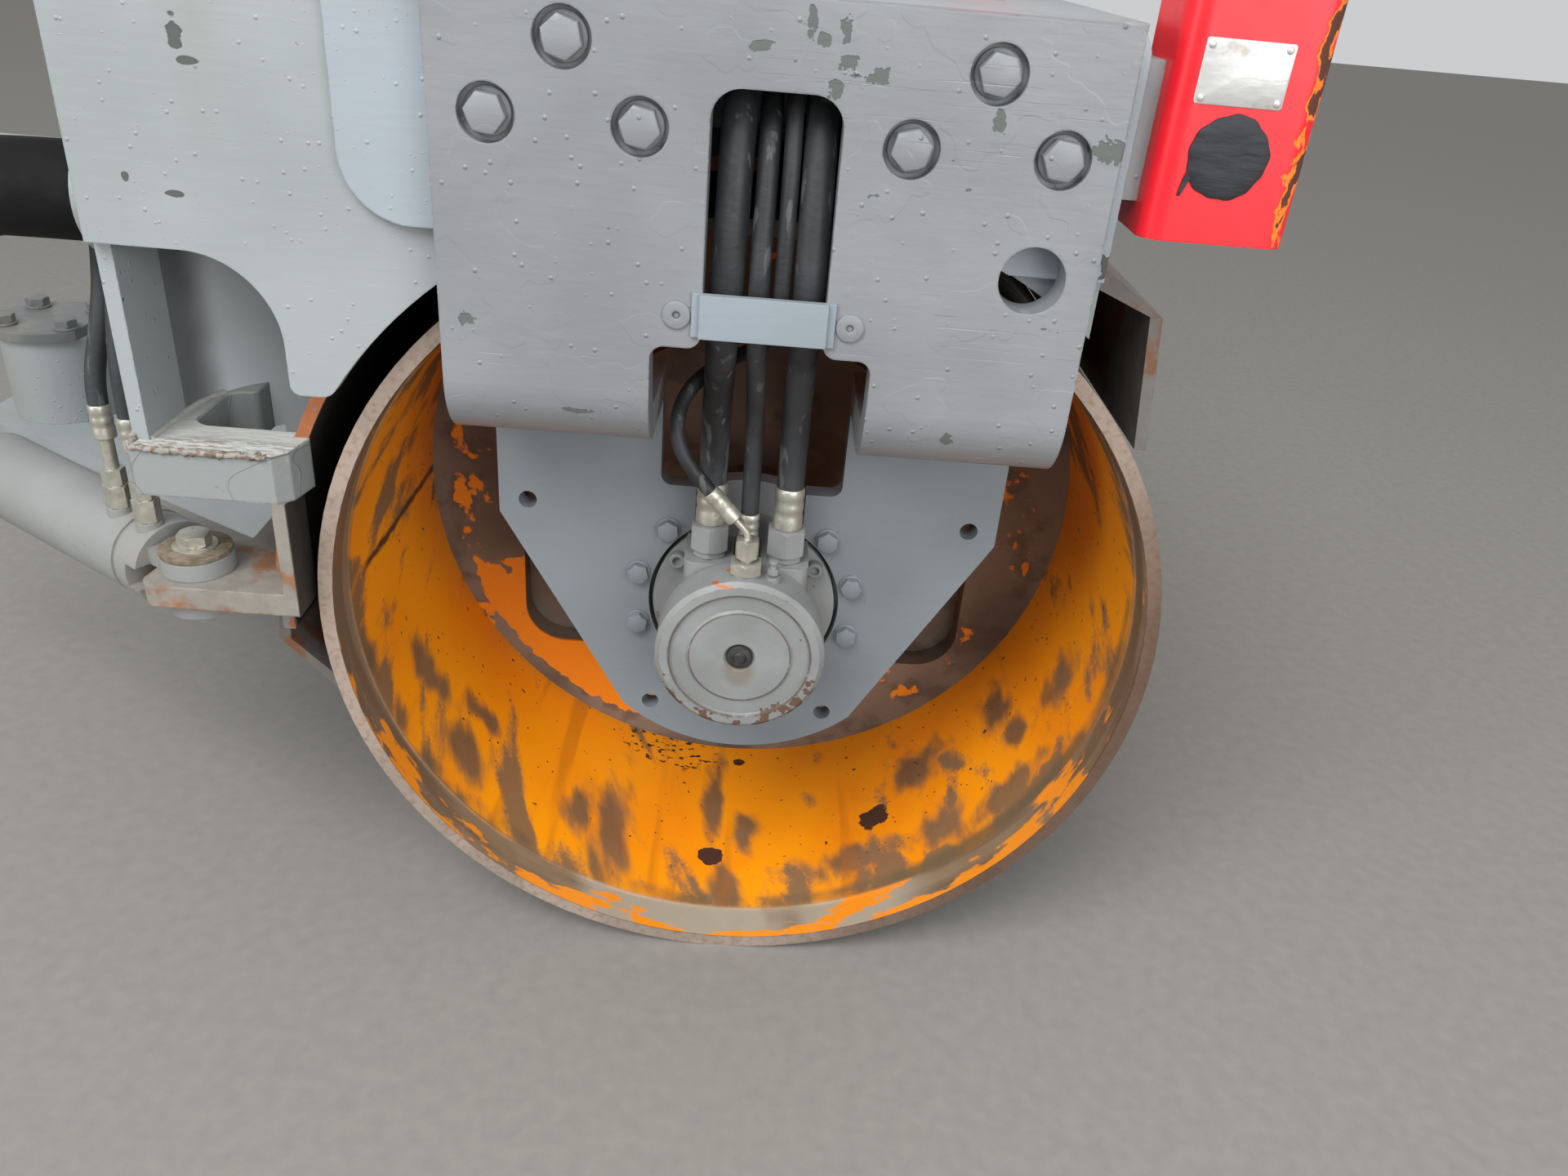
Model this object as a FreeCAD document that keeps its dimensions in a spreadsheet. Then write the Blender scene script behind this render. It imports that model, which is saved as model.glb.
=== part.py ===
"""Drum unit of a tandem road roller: one smooth drum in its half-frame, with the two cranked
legs that carry it, its motors and hoses, the steering cylinder and the lower roll-bar posts.

Millimetres.  +X points from the articulation pivot to the drum, +Y from the near side to the
far side and +Z up.  The origin is the middle of the articulation bore.  Pieces are drawn about
the drum's axis: x along the frame, y across from the middle plane and z above the axis.
"""
import FreeCAD, Part
import math
import os

import Sketcher

Vector = FreeCAD.Vector

# Driving dimensions: name, value, what it measures.
SIZES = (
    ("pivot_reach", 900, "articulation pivot to drum axis"),
    ("pivot_height", 334, "middle of the articulation bore above the ground"),
    ("drum_radius", 360, "outside of the drum shell"),
    ("drum_width", 1200, "length of the drum shell"),
    ("shell_wall", 14, "drum shell plate"),
    ("rim_depth", 38, "turned seat inside each rim"),
    ("rim_cut", 2, "depth of the turned seat"),
    ("web_inset", 310, "drum end to web"),
    ("web_wall", 12, "web plate"),
    ("window_half", 250, "half the width of the web's window"),
    ("window_low", 205, "web's window below the axis"),
    ("window_corner", 45, "rounded corners of the window"),
    ("recess_depth", 30, "web's face to the recess floor"),
    ("exciter_radius", 112, "outside of the exciter housing"),
    ("disc_inset", 250, "drum end to drive disc"),
    ("disc_wall", 16, "drive disc plate"),
    ("disc_radius", 200, "drive disc"),
    ("buffer_circle", 150, "radius of the ring of rubber buffers"),
    ("buffer_radius", 34, "rubber buffer"),
    ("buffer_count", 8, "buffers at each end"),
    ("hub_radius", 62, "hub of the drive disc"),
    ("running_gap", 8, "hub to motor nose"),
    ("shaft_radius", 30, "motor shaft"),
    ("shaft_fit", 0.1, "clearance of the shaft in the hub"),
    ("shaft_length", 40, "motor shaft beyond the nose"),
    ("side_gap", 12, "drum end to side plate"),
    ("side_wall", 12, "side plate"),
    ("side_front", 482, "side plate's front edge ahead of the axis"),
    ("side_rear", 238, "side plate's rear edge behind the axis"),
    ("side_low", 311, "side plate's straight lower edge"),
    ("frame_top", 507, "top of the half-frame above the axis"),
    ("lobe_low", 208, "bottom of the side plate's lobe"),
    ("lobe_front", 350, "front of the side plate's lobe"),
    ("lobe_corner", 8, "front corner of the lobe"),
    ("lobe_heel", 14, "lobe's corner at the arch"),
    ("scallop_radius", 66, "round between the lower edge and the lobe"),
    ("arch_radius", 382, "side plate's arch round the drum"),
    ("top_corner", 20, "rounded rear top corner"),
    ("pad_wall", 8, "welded pad between leg and side plate"),
    ("pad_front", 295, "pad's front edge"),
    ("pad_low", 342, "pad's lower edge"),
    ("pad_corner", 48, "pad's rounded corner"),
    ("leg_wall", 28, "leg plate"),
    ("leg_half", 225, "half the leg's width"),
    ("leg_low", 193, "underside of the leg's shelf"),
    ("leg_bend", 50, "outside of the leg's lower bend"),
    ("slot_half", 43, "half the hose slot's width"),
    ("slot_top", 452, "top of the hose slot"),
    ("slot_corner", 20, "upper corners of the hose slot"),
    ("rise_top", 480, "top of the slot in side plate and pad"),
    ("rise_spare", 8, "that slot's spare width each side"),
    ("mouth_half", 78.5, "half the width of the slot's mouth"),
    ("mouth_top", 280, "top of the slot's mouth"),
    ("mouth_corner", 10, "corners of the slot's mouth"),
    ("sight_x", 181, "round sight hole from the axis"),
    ("sight_z", 346, "round sight hole above the axis"),
    ("sight_radius", 23, "round sight hole"),
    ("sink_radius", 18.8, "counterbore of the leg bolts"),
    ("sink_depth", 9, "counterbore of the leg bolts"),
    ("bolt_flats", 24, "leg bolt head across flats"),
    ("bolt_head", 13, "height of the leg bolt heads"),
    ("bolt_shank", 8, "radius of the leg bolts"),
    ("bolt_fit", 0.3, "clearance round bolts"),
    ("tongue_inset", 73, "drum end to the tongue's outer face"),
    ("tongue_wall", 20, "tongue plate"),
    ("tongue_half", 220, "half the tongue's width"),
    ("tongue_shoulder", 76, "where the tongue starts to narrow"),
    ("tongue_tip", 109, "half width where the tongue's tip turns round"),
    ("tongue_radius", 162, "round tip of the tongue"),
    ("notch_half", 79, "half the width of the tongue's notch"),
    ("notch_low", 113, "bottom of the tongue's notch"),
    ("tongue_bore", 87, "bore for the motor"),
    ("opening_half", 48, "half the width of the opening between bore and notch"),
    ("tongue_hole", 8, "radius of the free holes in the tongue"),
    ("hole_side", 25, "upper free holes from the tongue's side edge"),
    ("hole_rise", 13, "upper free holes above the tongue's shoulder"),
    ("hole_edge", 19.4, "lower free holes from the tongue's round edge"),
    ("hole_angle", 54.4, "lower free holes below the horizontal"),
    ("flange_circle", 100, "radius of the motor's bolt circle"),
    ("flange_flats", 17, "motor bolt head across flats"),
    ("flange_head", 7, "height of the motor bolt heads"),
    ("flange_bolt", 5, "radius of the motor bolts"),
    ("flange_count", 12, "motor bolts"),
    ("flange_radius", 114, "motor flange behind the tongue"),
    ("flange_wall", 18, "motor flange"),
    ("plug_gap", 4, "gap round the motor in the tongue's bore"),
    ("motor_body", 60, "motor body"),
    ("motor_nose", 60, "motor's output nose"),
    ("motor_proud", 22, "motor cover's face outside the drum end"),
    ("cover_radius", 72.5, "motor cover"),
    ("cover_wall", 38, "depth of the motor cover"),
    ("port_x", 32.5, "motor ports from the axis"),
    ("port_z", 68, "top of the port bosses"),
    ("port_half", 21, "half the width of a port boss"),
    ("port_corner", 10, "rounded corners of the port bosses"),
    ("port_out", 38, "port axis inside the drum end"),
    ("drain_boss", 10, "radius of the drain port's boss"),
    ("drain_z", 64, "top of the drain port's boss"),
    ("cover_chamfer", 4, "chamfer of the motor cover"),
    ("ring_outer", 60.5, "outer edge of the cover's recess"),
    ("ring_inner", 43.5, "raised middle of the cover"),
    ("ring_slope", 2, "slope round the recess and the middle"),
    ("recess_floor", 3, "depth of the cover's recess"),
    ("middle_low", 1, "raised middle below the cover's face"),
    ("plug_radius", 11.5, "plug in the cover's middle"),
    ("plug_low", 4, "plug below the cover's face"),
    ("bleed_z", 74, "top of the bleed port's boss on the cover"),
    ("bleed_out", 3, "bleed port outside the drum end"),
    ("bleed_boss", 13, "radius of the bleed port's boss"),
    ("nipple_x", 23, "bleed nipple from the axis"),
    ("nipple_boss", 6.5, "radius of the bleed nipple's boss"),
    ("guard_radius", 390, "inside of the rolled guard"),
    ("guard_wall", 10, "guard plate"),
    ("guard_clear", 27, "guard's end inside the side plate"),
    ("guard_low", 25, "guard's lower edge below the axis"),
    ("front_wall", 12, "front wall plate"),
    ("wall_low", 115, "front wall's lower edge at the sides"),
    ("arm_wall", 20, "pivot arm plate"),
    ("arm_half", 330, "half the arm's width at the front wall"),
    ("arm_tip", 90, "half the arm's width at the pivot"),
    ("boss_radius", 63, "articulation boss"),
    ("pivot_bore", 30, "articulation bore"),
    ("boss_length", 108, "articulation boss"),
    ("cap_wall", 12, "boss cap"),
    ("cap_proud", 7, "cap's edge outside the boss"),
    ("cap_flat", 52, "cap's flat side from the pivot"),
    ("deck_wall", 8, "deck plate"),
    ("deck_hole", 8.5, "radius of the deck's bolt holes"),
    ("deck_hole_front", 82, "front bolt holes behind the deck's front edge"),
    ("deck_hole_pitch", 560, "front to rear bolt holes"),
    ("deck_hole_side", 162, "bolt holes from the deck's sides"),
    ("step_wall", 42, "lashing step"),
    ("step_nose", 362, "step's rear end ahead of the axis"),
    ("step_chamfer", 10, "step's cut corner"),
    ("step_heel", 356, "step's rear end at the guard's end"),
    ("finger_end", 433, "end of the step's strip behind the lashing eye"),
    ("finger_corner", 8, "rounded corner of that strip"),
    ("eye_turn", 12, "inner corner of the lashing eye"),
    ("eye_outer", 49, "outer edge of the lashing eye from the side plate's face"),
    ("eye_inner", 128, "inner edge of the lashing eye from the side plate's face"),
    ("eye_front", 455, "closed end of the lashing eye"),
    ("eye_corner", 17, "corners of the lashing eye"),
    ("pocket_start", 76, "rolled wall's start inward from the side plate's face"),
    ("pocket_radius", 104, "rolled wall behind the lashing eye"),
    ("pocket_wall", 8, "rolled wall behind the lashing eye"),
    ("skirt_reach", 60, "rolled wall's skirt ahead of the start of its straight part"),
    ("lug_top", 32, "top of the cylinder lug"),
    ("lug_wall", 20, "cylinder lug plate"),
    ("lug_front", 500, "front of the cylinder lug"),
    ("lug_nose", 26, "lug's front edge from the swing bolt"),
    ("lug_corner", 14, "rounded corner of the cylinder lug"),
    ("lug_end", 366, "rear end of the cylinder lug past the guard's end"),
    ("lug_tab", 440, "front of the lug's inner tab"),
    ("tab_depth", 188, "lug's inner tab inward from the side plate's face"),
    ("tab_start", 94, "start of the tab inward from the side plate's face"),
    ("lug_gusset", 12, "upright plate between lug and step"),
    ("swing_x", 463, "cylinder's swing bolt ahead of the axis"),
    ("swing_in", 38, "cylinder's swing bolt inward from the side plate's face"),
    ("swing_radius", 12, "cylinder's swing bolt"),
    ("swing_flats", 24, "swing bolt head across flats"),
    ("swing_washer", 4, "swing bolt's washer"),
    ("swing_fit", 0.1, "clearance of the cylinder's eye"),
    ("eye_radius", 30, "cylinder's eye"),
    ("fork_wall", 15, "ears of the cylinder's fork"),
    ("fork_gap", 0.3, "clearance of the fork on the lug"),
    ("rod_eye_height", 30, "rod's eye"),
    ("barrel_radius", 39, "steering cylinder barrel"),
    ("barrel_bore", 31, "bore of the barrel"),
    ("barrel_start", 32, "swing bolt to the barrel's closed end"),
    ("barrel_cap", 36, "thickness of the barrel's closed end"),
    ("barrel_gland", 40, "length of the barrel's gland"),
    ("fork_slot", 46, "swing bolt to the bottom of the fork's slot"),
    ("fork_side", 24, "half the width of the fork's neck"),
    ("groove_start", 62, "swing bolt to the groove round the barrel"),
    ("groove_length", 5, "groove round the barrel"),
    ("groove_depth", 2, "groove round the barrel"),
    ("port_front", 88, "swing bolt to the front port"),
    ("port_rear", 46, "swing bolt to the rear port"),
    ("port_side", 10, "cylinder ports towards the near side"),
    ("port_low", 31.5, "bottom of the cylinder's port bosses"),
    ("port_high", 42.5, "top of the cylinder's port bosses"),
    ("port_boss", 11, "radius of the cylinder's port bosses"),
    ("barrel_end", 318, "swing bolt to the barrel's gland"),
    ("barrel_turn", 33, "angle of the cylinder to the frame"),
    ("rod_radius", 17.5, "piston rod"),
    ("rod_fit", 0.1, "clearance of the rod in the gland"),
    ("piston_start", 152, "swing bolt to the piston"),
    ("piston_length", 30, "piston"),
    ("rod_reach", 600, "swing bolt to the rod's eye"),
    ("rod_eye_radius", 30, "rod's eye"),
    ("rod_eye_bore", 12.5, "bore of the rod's eye"),
    ("post_width", 101, "roll-bar post along the frame"),
    ("post_depth", 80, "roll-bar post across the frame"),
    ("post_low", 378, "bottom of the post"),
    ("post_top", 760, "top of the lower post"),
    ("post_out", 26, "post's face outside the side plate's face"),
    ("post_gap", 0.5, "post to rear wall"),
    ("post_corner", 15, "rounded corners of the post"),
    ("hinge_radius", 36, "roll-bar hinge ears"),
    ("hinge_wall", 14, "roll-bar hinge ears"),
    ("hinge_inset", 6, "hinge ears from the post's faces"),
    ("hinge_rise", 45, "hinge pin above the post"),
    ("hinge_bore", 10.25, "hinge pin bore"),
    ("bracket_inset", 20, "post bracket above the post's bottom and below the frame's top"),
    ("bracket_reach", 60, "post bracket beyond the post's inner face"),
    ("scraper_gap", 6, "scraper lip to drum"),
    ("scraper_lean", 12, "rear scraper's top ahead of its lip"),
    ("scraper_height", 110, "rear scraper"),
    ("scraper_rise", 55, "front scraper's top above its lip"),
    ("scraper_reach", 56, "front scraper's top ahead of its lip"),
    ("scraper_bevel", 5, "bevel of the front scraper's lip"),
    ("rear_lip_angle", 31.5, "rear scraper's lip above the horizontal"),
    ("front_lip_angle", 17, "front scraper's lip below the horizontal"),
    ("rear_bracket_low", 8, "rear scraper's bracket above the rear wall's edge"),
    ("rear_bracket_high", 30, "top of that bracket above the rear wall's edge"),
    ("scraper_wall", 10, "scraper plate"),
    ("scraper_half", 560, "half the scrapers' length"),
    ("rear_rise", 20, "rear wall's lower edge above the arch"),
    ("clamp_half", 50, "half the clamp bar's length"),
    ("clamp_middle", 44.5, "half the clamp bar's full-depth middle"),
    ("clamp_lip", 2.5, "thickness of the clamp bar's ends"),
    ("clamp_low", 289, "clamp bar's lower edge"),
    ("clamp_height", 31, "clamp bar"),
    ("clamp_wall", 6, "clamp bar"),
    ("bulkhead_out", 60, "hose bulkhead inside the drum end"),
    ("bulkhead_wall", 8, "hose bulkhead plate"),
    ("bulkhead_half", 58, "half the hose bulkhead's width"),
    ("bulkhead_low", 425, "hose bulkhead's lower edge"),
    ("bundle_radius", 36, "sleeved hose bundle"),
    ("collar_radius", 44, "collars of the sleeved bundle"),
    ("collar_length", 14, "collars of the sleeved bundle"),
    ("strap_start", 37.5, "strap's face from the bundle's end axis"),
    ("strap_wall", 8, "strap that holds the bundle's end"),
    ("strap_half", 28, "half the strap's height"),
    ("coupling_side", 17, "couplings from the bundle's end axis"),
    ("coupling_flats", 24, "couplings across flats"),
    ("coupling_length", 30, "couplings at the bundle's end"),
    ("union_plate", 6, "plate that holds the steering unions"),
    ("union_rise", 462, "underside of that plate"),
    ("union_out", 60, "that plate's reach from the front wall"),
    ("union_side", 62, "that plate's near edge from the side plate"),
    ("union_width", 88, "that plate's width"),
    ("union_flats", 19, "steering unions across flats"),
    ("union_low", 22, "steering unions below the plate"),
    ("union_high", 12, "steering unions above the plate"),
)

# Leg bolts: inset from the leg's side edge, depth below the frame's top.
LEG_BOLTS = ((38, 82), (87.5, 34), (137, 83))

doc = FreeCAD.newDocument("DrumUnit")
sheet = doc.addObject("Spreadsheet::Sheet", "Sizes")
for row, (alias, number, note) in enumerate(SIZES, start=1):
    sheet.set(f"A{row}", alias)
    sheet.set(f"B{row}", str(number))
    sheet.setAlias(f"B{row}", alias)
    sheet.set(f"C{row}", note)
doc.recompute()


class Size:
    """A number together with the sheet expression that it comes from."""

    def __init__(self, number, text):
        self.number = float(number)
        self.text = text

    def __add__(self, other):
        other = as_size(other)
        return Size(self.number + other.number, f"({self.text} + {other.text})")

    def __sub__(self, other):
        other = as_size(other)
        return Size(self.number - other.number, f"({self.text} - {other.text})")

    def __mul__(self, other):
        other = as_size(other)
        return Size(self.number * other.number, f"{self.text} * {other.text}")

    def __truediv__(self, other):
        other = as_size(other)
        return Size(self.number / other.number, f"{self.text} / {other.text}")

    def __neg__(self):
        return Size(-self.number, f"(0 - {self.text})")

    def __radd__(self, other):
        return as_size(other) + self

    def __rsub__(self, other):
        return as_size(other) - self

    def __rmul__(self, other):
        return as_size(other) * self


def as_size(value):
    return value if isinstance(value, Size) else Size(value, f"({value})")


def root(value):
    return Size(math.sqrt(value.number), f"sqrt({value.text})")


class SheetSizes:
    """Reads a driving dimension by its name: size.drum_radius."""

    def __getattr__(self, alias):
        return Size(getattr(sheet, alias), f"Sizes.{alias}")


size = SheetSizes()
half_drum = size.drum_width / 2
side_in = half_drum + size.side_gap
side_out = side_in + size.side_wall
pad_out = side_out + size.pad_wall
leg_out = pad_out + size.leg_wall
tongue_out = half_drum - size.tongue_inset
tongue_in = tongue_out - size.tongue_wall
guard_out = size.guard_radius + size.guard_wall
guard_half = side_in - size.guard_clear
axis_rise = size.drum_radius - size.pivot_height


def bind(thing, name, value):
    thing.setExpression(name, as_size(value).text)


def place(thing, along=0, across=0, above=0):
    """Moves a piece from the drum's axis to its place about the articulation pivot."""
    for name, value in (("x", size.pivot_reach + along), ("y", as_size(across)), ("z", axis_rise + above)):
        bind(thing, f"Placement.Base.{name}", value)


def new_body(label):
    body = doc.addObject("PartDesign::Body", label)
    body.Label = label
    place(body)
    return body


def new_sketch(body, name, role, offset=0):
    """A sketch on one of the body's own planes: XZ looks along +Y, with +Y offsets negative."""
    sketch = body.newObject("Sketcher::SketchObject", name)
    plane = [feature for feature in body.Origin.OriginFeatures if feature.Role == role][0]
    sketch.AttachmentSupport = [(plane, "")]
    sketch.MapMode = "FlatFace"
    bind(sketch, "AttachmentOffset.Base.z", offset)
    return sketch


def pin_point(sketch, geometry, point, x, y):
    """Fixes one point of a sketch to two expressions."""
    fix_size(sketch, "DistanceX", geometry, x, point)
    fix_size(sketch, "DistanceY", geometry, y, point)


def ends_of(point):
    """The sketch's numbers for a segment's start and end: an arc to the right runs backwards."""
    return (2, 1) if len(point) > 2 and point[3] < 0 else (1, 2)


def fix_size(sketch, kind, geometry, value, *point):
    """Sets one distance or radius of a sketch to an expression."""
    value = as_size(value)
    where = (-1, 1, geometry, *point) if point else (geometry,)
    at = sketch.addConstraint(Sketcher.Constraint(kind, *where, value.number))
    sketch.setExpression(f"Constraints[{at}]", value.text)


def draw_profile(sketch, points):
    """A closed outline.  A point is (x, y), or (x, y, radius, side) where an arc leads on from it,
    its centre to the left (side 1) or right (side -1) of the way to the next point."""
    first = sketch.GeometryCount
    count = len(points)
    corners = [Vector(as_size(point[0]).number, as_size(point[1]).number, 0) for point in points]
    for index, point in enumerate(points):
        start = corners[index]
        end = corners[(index + 1) % count]
        if len(point) == 2:
            sketch.addGeometry(Part.LineSegment(start, end), False)
            continue
        radius = as_size(point[2])
        chord = end - start
        rise = math.sqrt(max(radius.number ** 2 - (chord.Length / 2) ** 2, 0))
        aside = Vector(-chord.y, chord.x, 0).normalize() * point[3]
        centre = (start + end) / 2 + aside * rise
        sketch.addGeometry(Part.Arc(start, centre - aside * radius.number, end), False)
    for index, point in enumerate(points):
        here = first + index
        ahead = (index + 1) % count
        following = points[ahead]
        sketch.addConstraint(Sketcher.Constraint(
            "Coincident", here, ends_of(point)[1], first + ahead, ends_of(following)[0]))
        pin_point(sketch, here, ends_of(point)[0], point[0], point[1])
        if len(point) == 2:
            continue
        chord = corners[ahead] - corners[index]
        if chord.Length < as_size(point[2]).number * 2 - 0.001:
            fix_size(sketch, "Radius", here, point[2])
            continue
        across = 0 if abs(chord.x) < abs(chord.y) else 1
        middle = (as_size(point[across]) + following[across]) / 2
        fix_size(sketch, ("DistanceX", "DistanceY")[across], here, middle, 3)


def draw_circle(sketch, x, y, radius):
    x = as_size(x)
    y = as_size(y)
    radius = as_size(radius)
    centre = Vector(x.number, y.number, 0)
    index = sketch.addGeometry(Part.Circle(centre, Vector(0, 0, 1), radius.number), False)
    pin_point(sketch, index, 3, x, y)
    fix_size(sketch, "Radius", index, radius)


def box_points(x0, x1, y0, y1):
    return ((x0, y0), (x1, y0), (x1, y1), (x0, y1))


def pad(body, sketch, length, midplane=False):
    feature = body.newObject("PartDesign::Pad", sketch.Name + "Pad")
    feature.Profile = sketch
    feature.Midplane = midplane
    bind(feature, "Length", length)
    sketch.Visibility = False
    doc.recompute()
    return feature


def cut_through(body, sketch):
    feature = body.newObject("PartDesign::Pocket", sketch.Name + "Pocket")
    feature.Profile = sketch
    feature.Type = "ThroughAll"
    feature.Midplane = True
    doc.recompute()
    return feature


def cut_depth(body, sketch, depth, reverse=False):
    feature = body.newObject("PartDesign::Pocket", sketch.Name + "Pocket")
    feature.Profile = sketch
    feature.Reversed = reverse
    bind(feature, "Length", depth)
    doc.recompute()
    return feature


def revolve(body, sketch, axis="H_Axis"):
    feature = body.newObject("PartDesign::Revolution", sketch.Name + "Turn")
    feature.Profile = sketch
    feature.ReferenceAxis = (sketch, [axis])
    feature.Angle = 360
    doc.recompute()
    return feature


def round_corners(body, corners, radius, axis):
    """Rounds the straight edges along one axis that stand at the given corners."""
    base = body.Tip
    flat = [name for name in "xyz" if name != axis]
    names = []
    for number, edge in enumerate(base.Shape.Edges, start=1):
        if not isinstance(edge.Curve, Part.Line):
            continue
        if abs(abs(getattr(edge.Curve.Direction, axis)) - 1) > 1e-6:
            continue
        middle = edge.CenterOfMass
        for corner in corners:
            here = [as_size(value).number for value in corner]
            if all(abs(getattr(middle, name) - at) < 0.01 for name, at in zip(flat, here)):
                names.append(f"Edge{number}")
    feature = body.newObject("PartDesign::Fillet", body.Name + f"Round{len(body.Group)}")
    feature.Base = (base, names)
    bind(feature, "Radius", radius)
    doc.recompute()
    return feature


def mirror(label, source):
    """The far side's copy of a near-side piece."""
    copy = doc.addObject("Part::Mirroring", label)
    copy.Label = label
    copy.Source = source
    copy.Base = Vector(0, 0, 0)
    copy.Normal = Vector(0, 1, 0)
    return copy


def join_label(label, pieces):
    """Like pieces of one body that don't touch, kept as one sub-part."""
    group = doc.addObject("Part::Compound", label)
    group.Label = label
    group.Links = pieces
    return group


subparts = []


def keep(*pieces):
    subparts.extend(pieces)
    return pieces[0]


# Drum shell: a rolled plate with a turned seat inside each rim.
body = new_body("drum_shell")
sketch = new_sketch(body, "ShellSection", "YZ_Plane")
bore = size.drum_radius - size.shell_wall
draw_profile(sketch, (
    (-half_drum, size.drum_radius),
    (-half_drum, bore + size.rim_cut),
    (-half_drum + size.rim_depth, bore + size.rim_cut),
    (-half_drum + size.rim_depth, bore),
    (half_drum - size.rim_depth, bore),
    (half_drum - size.rim_depth, bore + size.rim_cut),
    (half_drum, bore + size.rim_cut),
    (half_drum, size.drum_radius),
))
revolve(body, sketch)
keep(body)

# Webs: a disc near each end, welded inside the shell, with a recess behind a square window.
web_out = half_drum - size.web_inset
web_in = web_out - size.web_wall
floor_out = web_out - size.recess_depth
floor_in = floor_out - size.web_wall


def draw_window(name, offset, spare):
    """The web's window, or the recess behind it, wider by its wall."""
    sketch = new_sketch(body, name, "XZ_Plane", offset)
    across = size.window_half + spare
    up = size.window_low + spare
    turn = size.window_corner + spare
    draw_profile(sketch, (
        (turn - across, -up), (across - turn, -up, turn, 1),
        (across, turn - up), (across, up - turn, turn, 1),
        (across - turn, up), (turn - across, up, turn, 1),
        (-across, up - turn), (-across, turn - up, turn, 1),
    ))
    return sketch


body = new_body("web_near")
sketch = new_sketch(body, "WebDisc", "XZ_Plane", web_in)
draw_circle(sketch, 0, 0, bore)
pad(body, sketch, size.web_wall)
pad(body, draw_window("Recess", floor_in, size.web_wall), web_in - floor_in)
cut_depth(body, draw_window("Window", web_out, as_size(0)), size.recess_depth)
web_far = mirror("web_far", body)
keep(join_label("drum_webs", [body, web_far]))

# Exciter housing: a closed tube between the webs that holds the eccentric shaft.
body = new_body("exciter_housing")
sketch = new_sketch(body, "ExciterSection", "YZ_Plane")
draw_profile(sketch, (
    (-floor_in, 0),
    (-floor_in, size.exciter_radius),
    (floor_in, size.exciter_radius),
    (floor_in, 0),
))
revolve(body, sketch)
keep(body)

# Drive discs: they turn with the drum and drive it through the rubber buffers.
disc_out = half_drum - size.disc_inset
disc_in = disc_out - size.disc_wall
nose_in = tongue_in - size.flange_wall - size.motor_nose
body = new_body("disc_near")
sketch = new_sketch(body, "DiscSection", "YZ_Plane")
draw_profile(sketch, (
    (-disc_in, 0),
    (-disc_in, size.disc_radius),
    (-disc_out, size.disc_radius),
    (-disc_out, size.hub_radius),
    (-nose_in, size.hub_radius),
    (-nose_in, size.shaft_radius + size.shaft_fit),
    (-disc_in - size.disc_wall / 2, size.shaft_radius + size.shaft_fit),
    (-disc_in - size.disc_wall / 2, 0),
))
revolve(body, sketch)
disc_far = mirror("disc_far", body)
keep(join_label("drive_discs", [body, disc_far]))

# Rubber buffers between each drive disc and its web.
body = new_body("buffers_near")
sketch = new_sketch(body, "BufferRound", "XZ_Plane", floor_out)
draw_circle(sketch, 0, size.buffer_circle, size.buffer_radius)
pad(body, sketch, disc_in - floor_out)
ring = body.newObject("PartDesign::PolarPattern", "BufferRing")
ring.Originals = [body.Tip]
ring.Axis = ([f for f in body.Origin.OriginFeatures if f.Role == "Y_Axis"][0], [""])
ring.Angle = 360
bind(ring, "Occurrences", size.buffer_count)
body.Tip = ring
doc.recompute()
buffers_far = mirror("buffers_far", body)
keep(join_label("rubber_buffers", [body, buffers_far]))


def plate(label, points, inner, wall, corners=(), radius=0):
    """An upright plate on the near side, from its inner face outwards, with rounded corners."""
    body = new_body(label)
    sketch = new_sketch(body, label + "Outline", "XZ_Plane", inner)
    draw_profile(sketch, points)
    pad(body, sketch, wall)
    if corners:
        round_corners(body, corners, radius, "y")
    return body


def cut_shape(body, name, points, corners=(), radius=0):
    """A window cut through a plate along Y, its inner corners rounded."""
    sketch = new_sketch(body, name, "XZ_Plane")
    draw_profile(sketch, points)
    cut_through(body, sketch)
    if corners:
        round_corners(body, corners, radius, "y")


# Side plates: arched over the drum, with a lobe at the front and a slot for the hoses.
arch_rear = root(size.arch_radius * size.arch_radius - size.side_rear * size.side_rear)
body = plate("side_plate_near", (
    (-size.side_front, size.frame_top),
    (-size.side_front, size.side_low),
    (-size.lobe_front, size.side_low),
    (-size.lobe_front, size.lobe_low),
    (size.side_rear, size.lobe_low),
    (size.side_rear, size.frame_top),
), side_in, size.side_wall, ((size.side_rear, size.frame_top),), size.top_corner)
round_corners(body, ((-size.lobe_front, size.side_low),), size.scallop_radius, "y")
sketch = new_sketch(body, "Arch", "XZ_Plane")
draw_circle(sketch, 0, 0, size.arch_radius)
cut_through(body, sketch)
round_corners(body, ((-size.lobe_front, size.lobe_low),), size.lobe_corner, "y")
lobe_rear = -root(size.arch_radius * size.arch_radius - size.lobe_low * size.lobe_low)
round_corners(body, ((lobe_rear, size.lobe_low),), size.lobe_heel, "y")
slot_corners = ((-size.slot_half, size.slot_top), (size.slot_half, size.slot_top))
rise_half = size.slot_half + size.rise_spare
rise_corners = ((-rise_half, size.rise_top), (rise_half, size.rise_top))
cut_shape(body, "SideSlot", box_points(-rise_half, rise_half, 0, size.rise_top),
          rise_corners, size.slot_corner)
keep(body, mirror("side_plate_far", body))

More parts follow.
